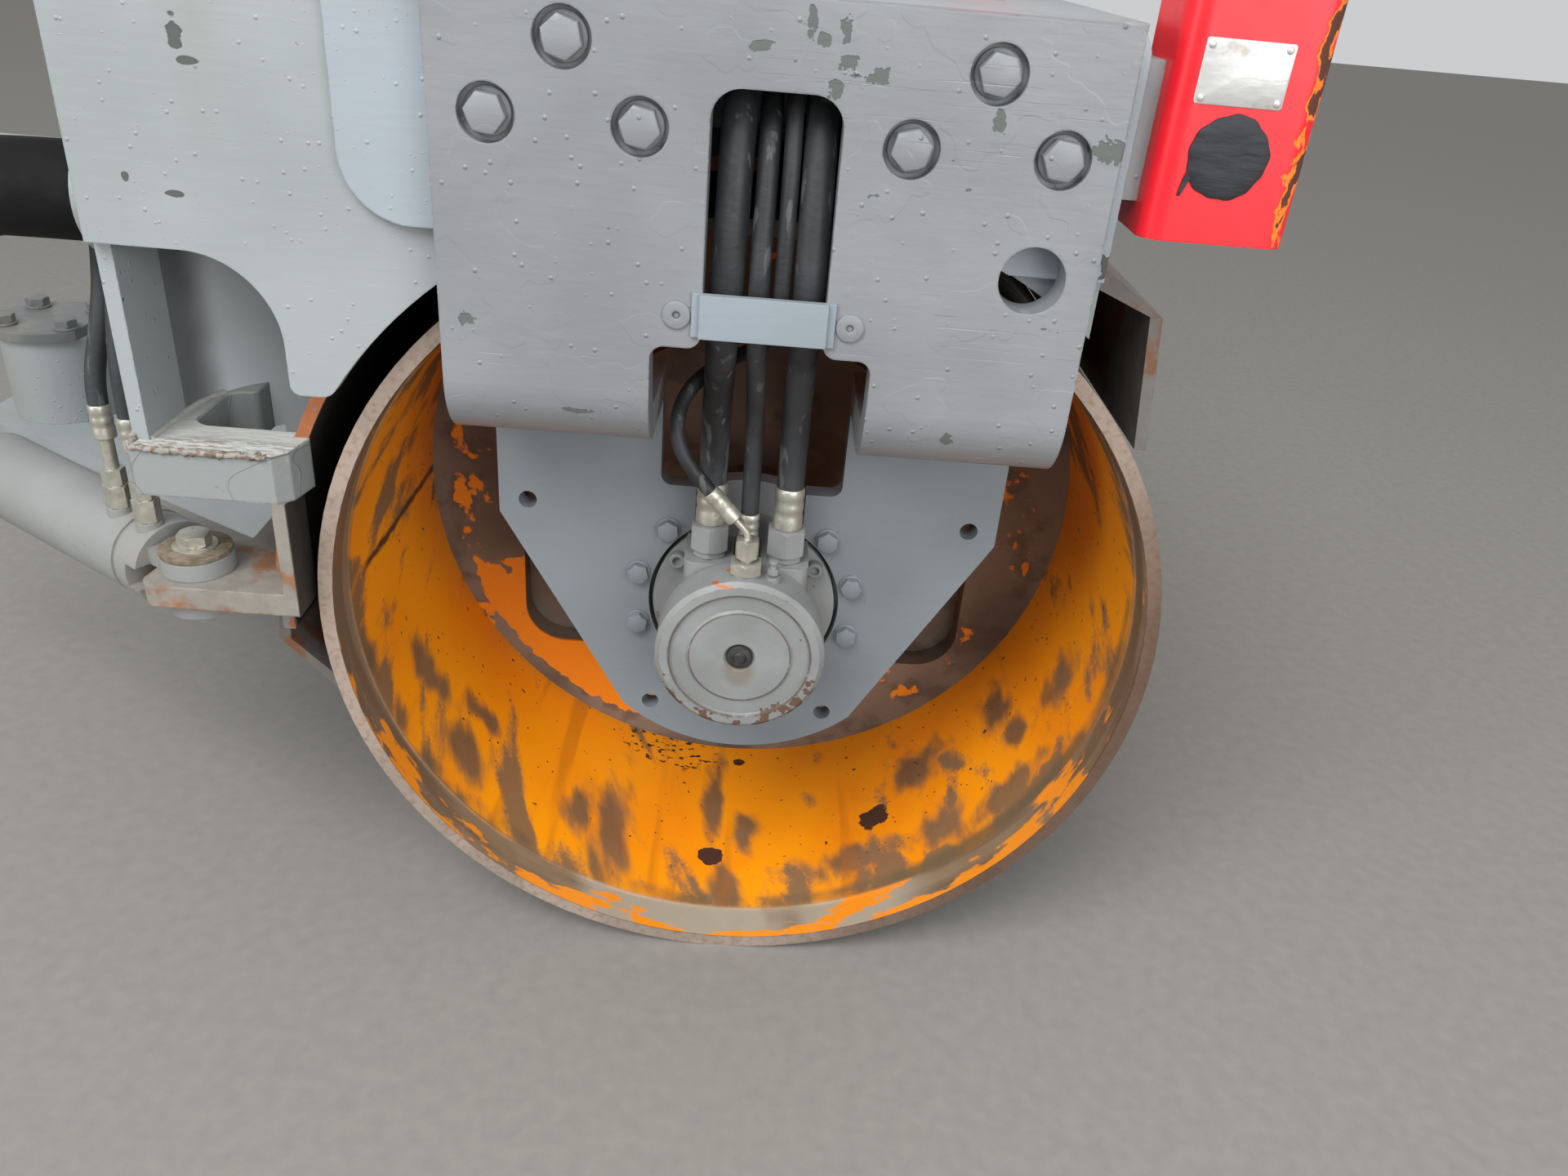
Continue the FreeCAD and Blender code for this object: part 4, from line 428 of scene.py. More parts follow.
SIDE_CHIPS = ((0.505, 0.478, 0.004, 0.009), (0.510, 0.462, 0.006, 0.003), (0.488, 0.376, 0.005, 0.002),
              (0.456, 0.384, 0.002, 0.003))
dress(brushed_paint("frame_paint", (152, 158, 160), (142, 148, 149), spots=SIDE_CHIPS),
      "side_plate_near", "side_plate_far", "front_wall", "rear_wall", "deck_plate", "pivot_arm",
      "pivot_boss", "post_brackets", "hose_bulkhead_near", "hose_bulkhead_far", "bundle_collars")
# The pads' paint is paler and bluer than the frame's: a painted reflection of the sky.
dress(brushed_paint("pad_paint", (154, 163, 171), (147, 155, 161), chips=0.6, dirt=0.1), "leg_pads")

# The rolled pocket walls carry painted light: a pale painted reflection in front and painted shade behind,
# split along x.
pocket = Finish("pocket_paint", roughness=0.36)
pocket_clouds = pocket.noise(12)
pocket_painted_light = (pocket.x + (pocket_clouds - 0.5) * 0.01).rise(0.430, 0.446)
dress(pocket.finish(pocket.mix(pocket_painted_light, (104, 106, 108), (212, 216, 219)), height=pocket_clouds),
      "pocket_walls")

# The lug is stained with rust on top, and the side of its upright that faces the drum is dark.
lug = Finish("lug_paint")
lug_grain = lug.noise(70, detail=5)
lug_worn, lug_soft = lug.edges(0.002)
lug_stain = (lug.noise(24, detail=5, shift=21) + lug_worn * 0.10).rise(0.49, 0.58)
lug_tone = lug.coats(
    (118, 113, 105),
    (lug_grain, (148, 142, 134)),
    (lug_stain, lug.mix(lug_grain, (112, 74, 52), (160, 116, 84))),
    (lug_worn * lug_grain.rise(0.4, 0.6) * 0.6, (184, 182, 176)),
    (lug.x.rise(0.5322, 0.5336), (52, 48, 44)))
dress(lug.finish(lug_tone, roughness=0.45 + lug_grain * 0.3, height=lug_grain, distance=0.0012,
                 normal=lug_soft), "cylinder_lug")

# The rolled guard is grey outside, painted almost black inside as painted shade over the drum, and rusty
# along its ends.
guard = Finish("guard_paint")
guard_grain = guard.noise(60, detail=5)
guard_end = abs(guard.y).rise(0.580, 0.583)
# Painted shade: the inner face of the guard, over the drum, is made almost black.
guard_inside_shade = guard.off_axis().rise(0.3985, 0.3970) * (1 - guard_end)
guard_rust = guard_end * (guard_grain + guard.z.rise(0.13, 0.20) * 0.25).rise(0.50, 0.58)
guard_tone = guard.coats(
    (128, 131, 129),
    (guard_inside_shade, (46, 43, 40)),
    (guard_rust, guard.mix(guard_grain, (120, 66, 38), (176, 108, 66))))
dress(guard.finish(guard_tone, roughness=0.42 + guard_grain * 0.3, height=guard_grain), "drum_guard")

# Lashing steps: pale and stained on top, with a wrinkled crust of paint along the outer edge, and
# with sagging paint on their sides.
step = Finish("step_paint")
step_clouds = step.noise(14, detail=4)
step_grain = step.noise(90, detail=4, shift=3)
step_worn, step_soft = step.edges(0.003)
wrinkles = step.noise(120, stretch=(0.7, 1.4, 1), detail=5, shift=5)
on_top = step.z.rise(STEP_TOP - 0.003, STEP_TOP - 0.0008)
crust = (abs(step.y) + (step_clouds - 0.5) * 0.03).rise(0.598, 0.610) * on_top
sag_line = abs(step.noise(15, detail=1, shift=9) - 0.52).rise(0.010, 0.003) * (1 - on_top)
corner = (step.far((0.428, -0.500, STEP_TOP), (0.012, 0.030, 0.006)) + (step_clouds - 0.5)).rise(1.1, 0.8)
step_rust = (step.noise(34, detail=5, shift=12) + step_worn * 0.12).rise(0.70, 0.74)
step_tone = step.coats(
    (138, 142, 142),
    (on_top, step.mix(step_clouds, (168, 170, 168), (192, 193, 188))),
    (step.noise(10, detail=4, shift=16).rise(0.56, 0.70) * on_top * 0.4, (140, 124, 96)),
    (on_top * wrinkles.rise(0.50, 0.66) * step_clouds.rise(0.40, 0.60) * 0.6, (186, 184, 176)),
    (crust * wrinkles.rise(0.44, 0.54), (196, 195, 188)),
    ((step_rust | corner) * 0.8, (128, 88, 66)))
step_relief = step_grain * 0.25 + sag_line * 0.3 + (crust * 1.7 + on_top * 0.5) * wrinkles
dress(step.finish(step_tone, roughness=0.38 + step_grain * 0.25, height=step_relief, distance=0.0018,
                  normal=step_soft), "step_near", "step_far")


def join_loops(name, loops, material, closed=False):
    """A skin over rings of the same number of points, its ends capped or joined to each other."""
    work = bmesh.new()
    rings = [[work.verts.new(point) for point in loop] for loop in loops]
    count = len(rings[0])
    for low, high in zip(rings, rings[1:] + (rings[:1] if closed else [])):
        for k in range(count):
            work.faces.new((low[k], low[(k + 1) % count], high[(k + 1) % count], high[k]))
    if not closed:
        work.faces.new(rings[0][::-1])
        work.faces.new(rings[-1])
    bmesh.ops.recalc_face_normals(work, faces=work.faces)
    mesh = bpy.data.meshes.new(name)
    work.to_mesh(mesh)
    work.free()
    for polygon in mesh.polygons:
        polygon.use_smooth = True
    mesh.set_sharp_from_angle(angle=math.radians(35))
    mesh.materials.append(material)
    return mesh


def stand(name, mesh, slot, *replaced, body="frame"):
    """Puts a finished mesh in the scene on its body, in place of the CAD nodes it stands for."""
    piece = add(name, mesh)
    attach(piece, body)
    if replaced:
        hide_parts(*replaced)


def new_tree(name, **inputs):
    """A Geometry Nodes tree for a mesh and named inputs, with the values of all of them."""
    tree = bpy.data.node_groups.new(name, "GeometryNodeTree")
    for key, kind in {"Mesh": "Geometry", **inputs}.items():
        tree.interface.new_socket(key, in_out="INPUT", socket_type="NodeSocket" + kind)
    tree.interface.new_socket("Made", in_out="OUTPUT", socket_type="NodeSocketGeometry")
    given = tree.nodes.new("NodeGroupInput")
    form = Nodes(tree)
    return form, [Value(form, given.outputs[k]) for k in range(len(inputs) + 1)]


def close_tree(form, made):
    form.tree.links.new(made.socket, form.tree.nodes.new("NodeGroupOutput").inputs[0])
    return form.tree


def grow(name, mesh, tree, inputs, slot, *replaced):
    """Runs a tree on a mesh and keeps the result as a plain mesh that rides on the frame."""
    seed = add(name + "_seed", mesh)
    modifier = seed.modifiers.new(name, "NODES")
    modifier.node_group = tree
    named = {item.name: item.identifier for item in tree.interface.items_tree if item.in_out == "INPUT"}
    for key, value in inputs.items():
        modifier[named[key]] = value
    ready = seed.evaluated_get(bpy.context.evaluated_depsgraph_get())
    grown = bpy.data.meshes.new_from_object(ready)
    grown.name = name
    bpy.data.objects.remove(seed)
    stand(name, grown, slot, *replaced)


# Weld beads: hand-laid fillets where plates meet, rough and rippled.  Geometry Nodes run each bead
# along its path and break it up with ripples and lumps.


def weld_tree():
    form, (path, bead_radius, lump, grain, metal) = new_tree(
        "weld_bead", Radius="Float", Lump="Float", Grain="Float", Metal="Material")
    line = form.node("GeometryNodeMeshToCurve", [path])
    line = form.node("GeometryNodeResampleCurve", {"Curve": line, "Length": 0.0025}, mode="LENGTH")
    ring = form.node("GeometryNodeCurvePrimitiveCircle", {"Resolution": 8, "Radius": bead_radius})
    skin = form.node("GeometryNodeCurveToMesh", {"Curve": line, "Profile Curve": ring, "Fill Caps": True})
    place = form.node("GeometryNodeInputPosition")
    outward = form.node("GeometryNodeInputNormal")
    bumps = form.node("ShaderNodeTexNoise", {"Vector": place, "Scale": grain, "Detail": 2})
    push = form.node("ShaderNodeVectorMath", {0: outward, "Scale": (bumps - 0.5) * lump},
                     operation="SCALE")
    skin = form.node("GeometryNodeSetPosition", {"Geometry": skin, "Offset": push})
    skin = form.node("GeometryNodeRealizeInstances", [skin])
    skin = form.node("GeometryNodeSetMaterial", {"Geometry": skin, "Material": metal})
    return close_tree(form, form.node("GeometryNodeSetShadeSmooth", [skin]))


bead = Finish("bead_paint")
bead_grain = bead.noise(150)
bead_rust = bead.noise(200, detail=4, shift=3).rise(0.46, 0.60)
bead_colour = bead.coats((118, 116, 110), (bead_grain, (166, 163, 155)), (bead_rust * 0.8, (104, 78, 56)))
rough_bead = bead.finish(bead_colour, roughness=0.4 + bead_grain * 0.4, height=bead_grain)
clean_bead = two_tone("clean_bead_paint", (158, 158, 150), (186, 186, 178), 110, detail=2, roughness=0.42)
weld = weld_tree()

PAD_FRONT = 0.605
PAD_LOW = 0.368
PAD_CORNER = 0.048
POCKET_MIDDLE = (0.534, 0.548)
POCKET_RADIUS = 0.1035
for side, label, _ in SIDES:
    face = side * SIDE_FACE
    pad_run = [(PAD_FRONT, face, 0.530), (PAD_FRONT, face, PAD_LOW + PAD_CORNER)]
    pad_turns = [math.pi * (1 + k / 32) for k in range(1, 17)]
    pad_run += [(PAD_FRONT + PAD_CORNER * (1 + math.cos(t)), face, PAD_LOW + PAD_CORNER * (1 + math.sin(t)))
                for t in pad_turns]
    pad_run += [(0.676, face, PAD_LOW)]
    step_run = [(x, side * y, STEP_TOP + rise) for x, y, rise in (
        (0.4175, 0.598, 0.009), (0.4180, 0.611, 0.003), (0.4180, 0.620, -0.001),
        (0.4215, 0.6235, -0.002), (0.470, 0.6245, -0.002), (0.524, 0.6240, -0.002))]
    wall_run = [(0.430, side * y, STEP_TOP) for y in (0.609, 0.580, 0.550)]
    wall_run += [(POCKET_MIDDLE[0] + POCKET_RADIUS * math.cos(t),
                  side * (POCKET_MIDDLE[1] - POCKET_RADIUS * math.sin(t)), STEP_TOP)
                 for t in map(math.radians, (171, 162, 153))]
    for name, run, bead_radius, lump, grain, metal in (
        ("pad_weld", pad_run, 0.0022, 0.0013, 160.0, clean_bead),
        ("step_weld", step_run, 0.0027, 0.0080, 330.0, rough_bead),
        ("wall_weld", wall_run, 0.0028, 0.0030, 150.0, clean_bead),
    ):
        path = bpy.data.meshes.new(name)
        path.from_pydata(run, [(k, k + 1) for k in range(len(run) - 1)], [])
        grow(f"{name}_{label}", path, weld,
             {"Radius": bead_radius, "Lump": lump, "Grain": grain, "Metal": metal}, "frame_paint")

# Legs: thick cranked plates, bolted through the pads, that carry the drum.  Their paint is warmer
# and heavier, with long scratches where kerbs and chains have rubbed along it.
LEG_CHIPS = (
    (0.917, 0.521, 0.003, 0.009), (0.926, 0.511, 0.004, 0.005), (0.939, 0.517, 0.003, 0.007),
    (0.941, 0.498, 0.005, 0.005), (0.935, 0.482, 0.004, 0.005), (0.962, 0.492, 0.007, 0.006),
    (0.886, 0.504, 0.010, 0.003), (1.042, 0.471, 0.004, 0.006), (1.116, 0.460, 0.012, 0.007),
    (0.695, 0.314, 0.005, 0.005), (0.771, 0.252, 0.012, 0.002), (1.040, 0.251, 0.004, 0.004),
)
leg = Finish("leg_paint")
leg_clouds = leg.noise(6)
leg_brush = leg.noise(60, stretch=(0.5, 1, 1.4), detail=4, shift=3)
leg_sag = leg.noise(20, stretch=(1, 1, 0.8), detail=2, shift=6)
leg_patch = leg.noise(8, stretch=(0.6, 1, 1.6), detail=2, shift=9)
leg_scored = leg.noise(1, stretch=(9, 9, 620), detail=2, shift=2).rise(0.63, 0.67)
leg_scored = leg_scored * leg_patch.rise(0.52, 0.62)
leg_lines = leg.noise(1, stretch=(14, 14, 300), shift=12)
leg_peel = leg.noise(12, shift=15).rise(0.535, 0.545)
leg_ragged = (leg.noise(190, shift=13) - 0.5) * 2.8
leg_chips = leg.noise(60, stretch=(0.7, 1, 1.2), detail=4, shift=4) + leg_patch * 0.30
leg_chips = leg_chips.rise(0.905, 0.917) | leg.marks(LEG_FACE, LEG_CHIPS, leg_ragged)
leg_worn, leg_soft = leg.edges(0.0022)
leg_colour = leg.coats(
    (133, 135, 138),
    (leg_clouds.rise(0.35, 0.65), (123, 125, 129)),
    (leg_worn * leg_brush.rise(0.42, 0.60) * 0.45, (176, 178, 180)),
    (leg_scored * 0.55, (160, 162, 164)),
    (leg_chips, (90, 95, 92)))
leg_relief = leg.pimples(0.0135) * 0.6 + leg_brush * 0.42 + leg_lines * 0.08 + leg_peel * 0.11
leg_relief += leg_sag * 0.9 - leg_scored * 0.22 - leg_chips * 0.35
leg_material = leg.finish(leg_colour, roughness=0.30 + leg_brush * 0.24 + leg_chips * 0.3,
                          height=leg_relief, distance=0.0013, normal=leg_soft)
dress(leg_material, "leg_near", "leg_far")

# Fasteners: hexagon and socket heads, painted over where they sit in the plates.  Each head is one
# mesh, and Geometry Nodes set it on its points, each turned a little differently.
SEGMENTS = 48
CHAMFER = math.tan(math.radians(30))


def reach_at(turn, flats, radius):
    """A hexagon's or a round's reach from its middle at one turn."""
    sixth = math.tau / 6
    return flats / 2 / math.cos((turn + sixth / 2) % sixth - sixth / 2) if flats else radius


def stack_loops(*stages):
    """Rings for stages (bottom, top, flats, radius), their corners chamfered as turned bar is."""
    loops = []
    for low, high, flats, radius in stages:
        easy = flats / 2 * 0.985 if flats else radius - min(0.0007, radius * 0.12)
        turns = [math.tau * k / SEGMENTS for k in range(SEGMENTS)]
        ring = [(t, reach_at(t, flats, radius)) for t in turns]
        for level, sign in ((low, 1), (high, -1)):
            rim = [Vector((min(r, easy) * math.cos(t), min(r, easy) * math.sin(t), level)) for t, r in ring]
            body = [Vector((r * math.cos(t), r * math.sin(t), level + sign * max(r - easy, 0) * CHAMFER))
                    for t, r in ring]
            loops += (rim, body) if sign > 0 else (body, rim)
    return loops


def turned(count, *profile):
    """Rings of count points for a turned head, each given by its radius and height."""
    return [[Vector((r * math.cos(math.tau * k / count), r * math.sin(math.tau * k / count), h))
             for k in range(count)] for r, h in profile]


def set_tree():
    """Sets a head on every point, turned about its own axis by a fixed random angle."""
    form, (points, head, facing, seed, metal) = new_tree(
        "set_heads", Head="Object", Facing="Vector", Seed="Int", Metal="Material")
    shape = form.node("GeometryNodeObjectInfo", {"Object": head}, output="Geometry")
    heads = form.node("GeometryNodeInstanceOnPoints", {
        "Points": points, "Instance": shape, "Rotation": facing})
    angle = form.node("FunctionNodeRandomValue", {2: -0.5, 3: 0.5, "Seed": seed}, output=1,
                      data_type="FLOAT")
    heads = form.node("GeometryNodeRotateInstances", {
        "Instances": heads, "Rotation": form.node("ShaderNodeCombineXYZ", [0, 0, angle])})
    heads = form.node("GeometryNodeRealizeInstances", [heads])
    return close_tree(form, form.node("GeometryNodeSetMaterial", {"Geometry": heads, "Material": metal}))


heads_tree = set_tree()


def set_heads(name, loops, points, facing, metal, seed, slot, *replaced):
    """One mesh of like heads, each with its foot on its point and its face to one side."""
    head = add(name + "_head", join_loops(name + "_head", loops, metal))
    mesh = bpy.data.meshes.new(name)
    mesh.from_pydata(points, [], [])
    grow(name, mesh, heads_tree, {"Head": head, "Facing": facing, "Seed": seed, "Metal": metal}, slot,
         *replaced)
    bpy.data.objects.remove(head)


def set_pair(name, loops, points, metal, seed, slot, *replaced, facing=None):
    """The same heads on both sides: points from the drum's axis and the middle of its width."""
    for side, label, outward in SIDES:
        places = [(DRUM_AXIS.x + x, side * y, DRUM_AXIS.z + z) for x, y, z in points]
        set_heads(f"{name}_{label}", loops, places, facing or outward, metal, seed, slot, *replaced)


set_pair("leg_bolts", stack_loops((0, 0.0024, 0, 0.0155), (0.0024, 0.013, 0.024, 0)),
         [(x * end, LEG_FACE, z) for end in (-1, 1) for x, z in (
             (0.187, 0.425), (0.1375, 0.473), (0.088, 0.424))],
         leg_material, 3, "leg_paint", "leg_bolts")

# Tongues: flat plates that hang from the legs' shelves into the drum and hold the hub motors.
tongue_material = brushed_paint("tongue_paint", (124, 130, 135), (114, 120, 125), blister=0.3, chips=0.2,
                                dirt=0.08, edge=0)
dress(tongue_material, "tongue_near", "tongue_far")

# Hub motors: grey iron bodies with a round end cover, bolted to the tongue from outside; the ring
# round the cover holds rust, and the middle has a black rubber plug.
motor = Finish("motor_paint")
motor_clouds = motor.noise(14, detail=4)
motor_grain = motor.noise(120, detail=4, shift=2)
motor_ring = motor.off_axis()
motor_worn, motor_soft = motor.edges(0.0012)
low_edge = motor.z.rise(0.06, -0.03) * motor_ring.rise(0.050, 0.068)
motor_rust = (motor_grain * 0.6 + motor_clouds * 0.3 + low_edge * 0.14 + motor_worn * 0.12).rise(0.60, 0.64)
motor_rust = motor_rust * motor_ring.rise(0.090, 0.070)
stain = motor.far((0.9, -0.621, 0.012), (0.016, 0.03, 0.018)).rise(1.1, 0.5)
scrape = motor.noise(60, stretch=(1, 1, 4), detail=4, shift=3).rise(0.56, 0.60)
scrape = scrape * motor.far((0.880, -0.61, 0.092), (0.016, 0.03, 0.008)).rise(1.2, 0.8)
grooves = abs(motor_ring - 0.0605).rise(0.0015, 0.0005) | abs(motor_ring - 0.0432).rise(0.0011, 0.0004)
grooves = grooves * abs(motor.y).rise(0.6120, 0.6165) * motor_grain.rise(0.25, 0.45)
motor_colour = motor.coats(
    (137, 139, 139),
    (motor_clouds.rise(0.35, 0.65), (122, 124, 123)),
    (motor_worn * motor_grain.rise(0.45, 0.6) * 0.5, (198, 198, 192)),
    (stain * 0.5, (112, 92, 70)),
    (motor_rust, (92, 66, 50)),
    (grooves * 0.8, (88, 76, 64)),
    (scrape, (172, 98, 52)))
motor_relief = motor_grain * 0.4 + motor_clouds * 0.4 - motor_rust * 0.5
motor_material = motor.finish(motor_colour, roughness=0.36 + motor_grain * 0.25 + motor_rust * 0.25,
                              height=motor_relief, normal=motor_soft)
dress(motor_material, "motor_near", "motor_far", "motor_cover_near", "motor_cover_far")

black_material = two_tone("plug_rubber", (26, 26, 28), (58, 56, 54), 200, detail=3, roughness=0.55,
                          distance=0.0004)
FLANGE_CIRCLE = 0.100
TONGUE_FACE = 0.527
SOCKET_FACE = 0.5276
COVER_FACE = 0.6180
OPENING_HALF = 0.048
flange_turns = [math.tau * (k + 0.5) / 12 for k in range(12)]
flange_points = [(FLANGE_CIRCLE * math.sin(t), TONGUE_FACE, FLANGE_CIRCLE * math.cos(t))
                 for t in flange_turns if math.cos(t) < 0 or FLANGE_CIRCLE * abs(math.sin(t)) > OPENING_HALF]
set_pair("motor_bolts", stack_loops((0, 0.0018, 0, 0.0108), (0.0018, 0.0088, 0.017, 0)), flange_points,
         tongue_material, 5, "tongue_paint", "motor_bolts")
socket_head = turned(36, (0.0068, 0.0), (0.0072, 0.0006), (0.0072, 0.0080), (0.0066, 0.0087),
                     (0.0042, 0.0087), (0.0040, 0.0080), (0.0040, 0.0045), (0.0022, 0.0040))
screw_points = [(x, SOCKET_FACE, z) for x in (-0.0617, 0.0617) for z in (-0.0427, 0.0427)]
set_pair("motor_screws", socket_head, screw_points, motor_material, 2, "motor_paint")
plug = turned(32, (0.0113, 0.0), (0.0113, 0.0018), (0.0102, 0.0034), (0.0064, 0.0046), (0.0056, 0.0040),
              (0.0048, 0.0046), (0.0040, 0.0066), (0.0018, 0.0070))
set_pair("motor_plug", plug, [(0, COVER_FACE, 0)], black_material, 1, "motor_paint")
nipple = stack_loops((0, 0.005, 0.009, 0), (0.005, 0.010, 0, 0.0030), (0.010, 0.0125, 0, 0.0042))
set_pair("bleed_nipple", nipple, [(0.023, -BLEED_Y, 0.0735)], motor_material, 1, "motor_paint",
         facing=UPWARD)

# Hose fittings: steel adapters, swivel nuts and crimped sleeves.  The big ones are painted over;
# the crimps and the bent pipe keep their yellowish zinc.
zinc = Finish("plated_steel")
zinc_grain = zinc.noise(90, detail=4)
zinc_spots = zinc.noise(160, shift=4).rise(0.60, 0.68)
_, zinc_soft = zinc.edges(0.0008)
zinc_colour = zinc.coats((162, 159, 146), (zinc_grain, (206, 204, 194)), (zinc_spots * 0.6, (128, 108, 76)))
zinc_material = zinc.finish(zinc_colour, roughness=0.28 + zinc_grain * 0.25,
                            metallic=0.75 - zinc_spots * 0.5, height=zinc_grain, distance=0.0005,
                            normal=zinc_soft)


def fitting(middle, metal, *stages):
    """Turned and hexagon stages one above the other, moved on to a port's middle."""
    return join_loops("fitting", [[point + Vector(middle) for point in loop]
                                  for loop in stack_loops(*stages)], metal)


def gather(name, meshes, slot, *replaced, body="frame"):
    """Several meshes of like pieces joined into one object."""
    work = bmesh.new()
    materials = list(dict.fromkeys(mesh.materials[0] for mesh in meshes))
    for mesh in meshes:
        known = len(work.faces)
        work.from_mesh(mesh)
        work.faces.ensure_lookup_table()
        for face in work.faces[known:]:
            face.material_index = materials.index(mesh.materials[0])
    joined = bpy.data.meshes.new(name)
    work.to_mesh(joined)
    work.free()
    for material in materials:
        joined.materials.append(material)
    stand(name, joined, slot, *replaced, body=body)


def tube_loops(points, radii, count=20):
    """Rings round a path, one radius for each point."""
    loops = []
    side = None
    for k, point in enumerate(points):
        run = (Vector(points[min(k + 1, len(points) - 1)]) - Vector(points[max(k - 1, 0)])).normalized()
        side = side or run.orthogonal().normalized()
        side = (side - run * side.dot(run)).normalized()
        other = run.cross(side)
        loops.append([Vector(point) + radii[k] * (side * math.cos(math.tau * n / count)
                                                   + other * math.sin(math.tau * n / count))
                      for n in range(count)])
    return loops


# A crimped sleeve's outline: share of its length, share of its radius.
CRIMP = ((0, 0.86), (0.04, 1.0), (0.30, 1.0), (0.34, 0.955), (0.44, 0.955), (0.48, 1.0), (0.60, 1.0),
         (0.64, 0.955), (0.74, 0.955), (0.78, 1.0), (0.95, 1.0), (1.0, 0.9))


def crimp(foot, top, radius):
    """A crimped sleeve between two points: rounded ends and rows of pressed grooves."""
    points = [Vector(foot).lerp(Vector(top), share) for share, _ in CRIMP]
    return join_loops("crimp", tube_loops(points, [radius * part for _, part in CRIMP], count=28),
                      zinc_material)


# Ports of a motor: place along x, adapter, swivel nut, and the sleeve's foot, top and radius.
END_STAGES = (
    (-0.0325, (0.068, 0.074, 0.027, 0), (0.074, 0.098, 0.031, 0), (0.098, 0.136, 0.0132)),
    (0.0325, (0.068, 0.074, 0.027, 0), (0.074, 0.098, 0.031, 0), (0.098, 0.136, 0.0127)),
    (0.0, (0.064, 0.070, 0.017, 0), (0.070, 0.084, 0.020, 0), (0.084, 0.109, 0.0087)),
)
for side, label, _ in SIDES:
    ends = []
    for x, adapter, nut, (foot, top, sleeve_radius) in END_STAGES:
        middle = DRUM_AXIS + Vector((x, side * PORT_Y, 0))
        ends.append(fitting(middle, motor_material if x else zinc_material, adapter, nut))
        ends.append(crimp(middle + Vector((0, 0, foot)), middle + Vector((0, 0, top)), sleeve_radius))
    if side < 0:
        middle = DRUM_AXIS + Vector((0, BLEED_Y, 0))
        ends.append(fitting(middle, zinc_material, (0.074, 0.085, 0.025, 0), (0.085, 0.088, 0, 0.006),
                            (0.088, 0.105, 0.017, 0)))
        pipe = [middle + Vector((x, 0, z)) for x, z in (
            (0, 0.100), (0, 0.1065), (-0.0015, 0.1105), (-0.0050, 0.1150), (-0.0115, 0.1215))]
        ends.append(join_loops("pipe", tube_loops(pipe, [0.003] * 5), zinc_material))
        ends.append(crimp(pipe[-1], middle + Vector((-0.033, 0, 0.145)), 0.0075))
    gather(f"hose_fittings_{label}", ends, "plated_steel", f"hose_ends_{label}")

# Hoses: steel-braided rubber, wrapped while it cured, dusty and scuffed.  They come through the
# frame's slots from the bulkheads and run down under the clamp to the motor.
rubber = Finish("hose_rubber")
rubber_dust = rubber.noise(26, stretch=(1, 1, 0.35), detail=5)
rubber_wrap = rubber.noise(90, stretch=(1, 1, 2.2), detail=2, shift=3)
rubber_scuff = rubber.noise(70, stretch=(1.6, 1.6, 0.3), detail=4, shift=7).rise(0.60, 0.66)
rubber_colour = rubber.coats((28, 29, 31), (rubber_dust.rise(0.35, 0.70), (56, 58, 61)),
                             (rubber_scuff * 0.35, (112, 113, 114)))
rubber_material = rubber.finish(rubber_colour, roughness=0.42 + rubber_dust * 0.3,
                                height=rubber_wrap * 0.6 + rubber_scuff * 0.2, distance=0.0007)


def route(name, points, radius, material):
    """A hose's own line through its route, as a NURBS spline with the hose's thickness."""
    line = bpy.data.curves.new(name, "CURVE")
    line.dimensions = "3D"
    spline = line.splines.new("NURBS")
    spline.points.add(len(points) - 1)
    for point, place in zip(spline.points, points):
        point.co = (*place, 1)
    spline.order_u = 3
    spline.use_endpoint_u = True
    spline.resolution_u = 16
    line.bevel_depth = radius
    line.bevel_resolution = 7
    line.use_fill_caps = True
    line.materials.append(material)
    return add(name, line)


def hose_facts(hose, node, places, length, radius, **path):
    """Hides the CAD hose that a line stands for."""
    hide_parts(node)


def route_place(x, y, z):
    """A route's point in millimetres, x and z from the drum's axis, as a place in metres."""
    return DRUM_AXIS.x + x / 1000, y / 1000, DRUM_AXIS.z + z / 1000


# Hoses of a motor: radius, length and route, its y outward from the drum's end.
HOSES = (
    ("hose_pressure", 0.012, 0.390, (
        (-25, -60, 455), (-25, 12, 455), (-26, 38, 385), (-28, 40, 300), (-32.5, -38, 205),
        (-32.5, -38, 136))),
    ("hose_return", 0.0115, 0.390, (
        (30.5, -60, 455), (30.5, 12, 455), (30.5, 38, 385), (31, 40, 300), (32.5, -38, 205),
        (32.5, -38, 136))),
    ("hose_drain", 0.0075, 0.410, (
        (-4, -60, 450), (-4, 12, 450), (-4, 36, 385), (-5, 44, 300), (0, -38, 190), (0, -38, 109))),
    ("hose_bleed", 0.006, 0.440, (
        (11.5, -60, 462), (11.5, 16, 462), (12, 38, 390), (11.5, 41, 306), (10, 2, 272),
        (-5, -34, 253), (-28, -47, 238), (-56, -31, 219), (-64, -5, 196), (-54.6, 3, 168.6),
        (-33, 3, 145))),
)
for name, hose_radius, length, points in HOSES:
    for side, node in ((-1, name), (1, name + "_far")):
        if node in nodes:
            places = [route_place(x, side * (DRUM_HALF * 1000 + outward), z) for x, outward, z in points]
            hose = route(node + "_line", places, hose_radius, rubber_material)
            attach(hose, "frame")
            hose_facts(hose, node, places, length, hose_radius)

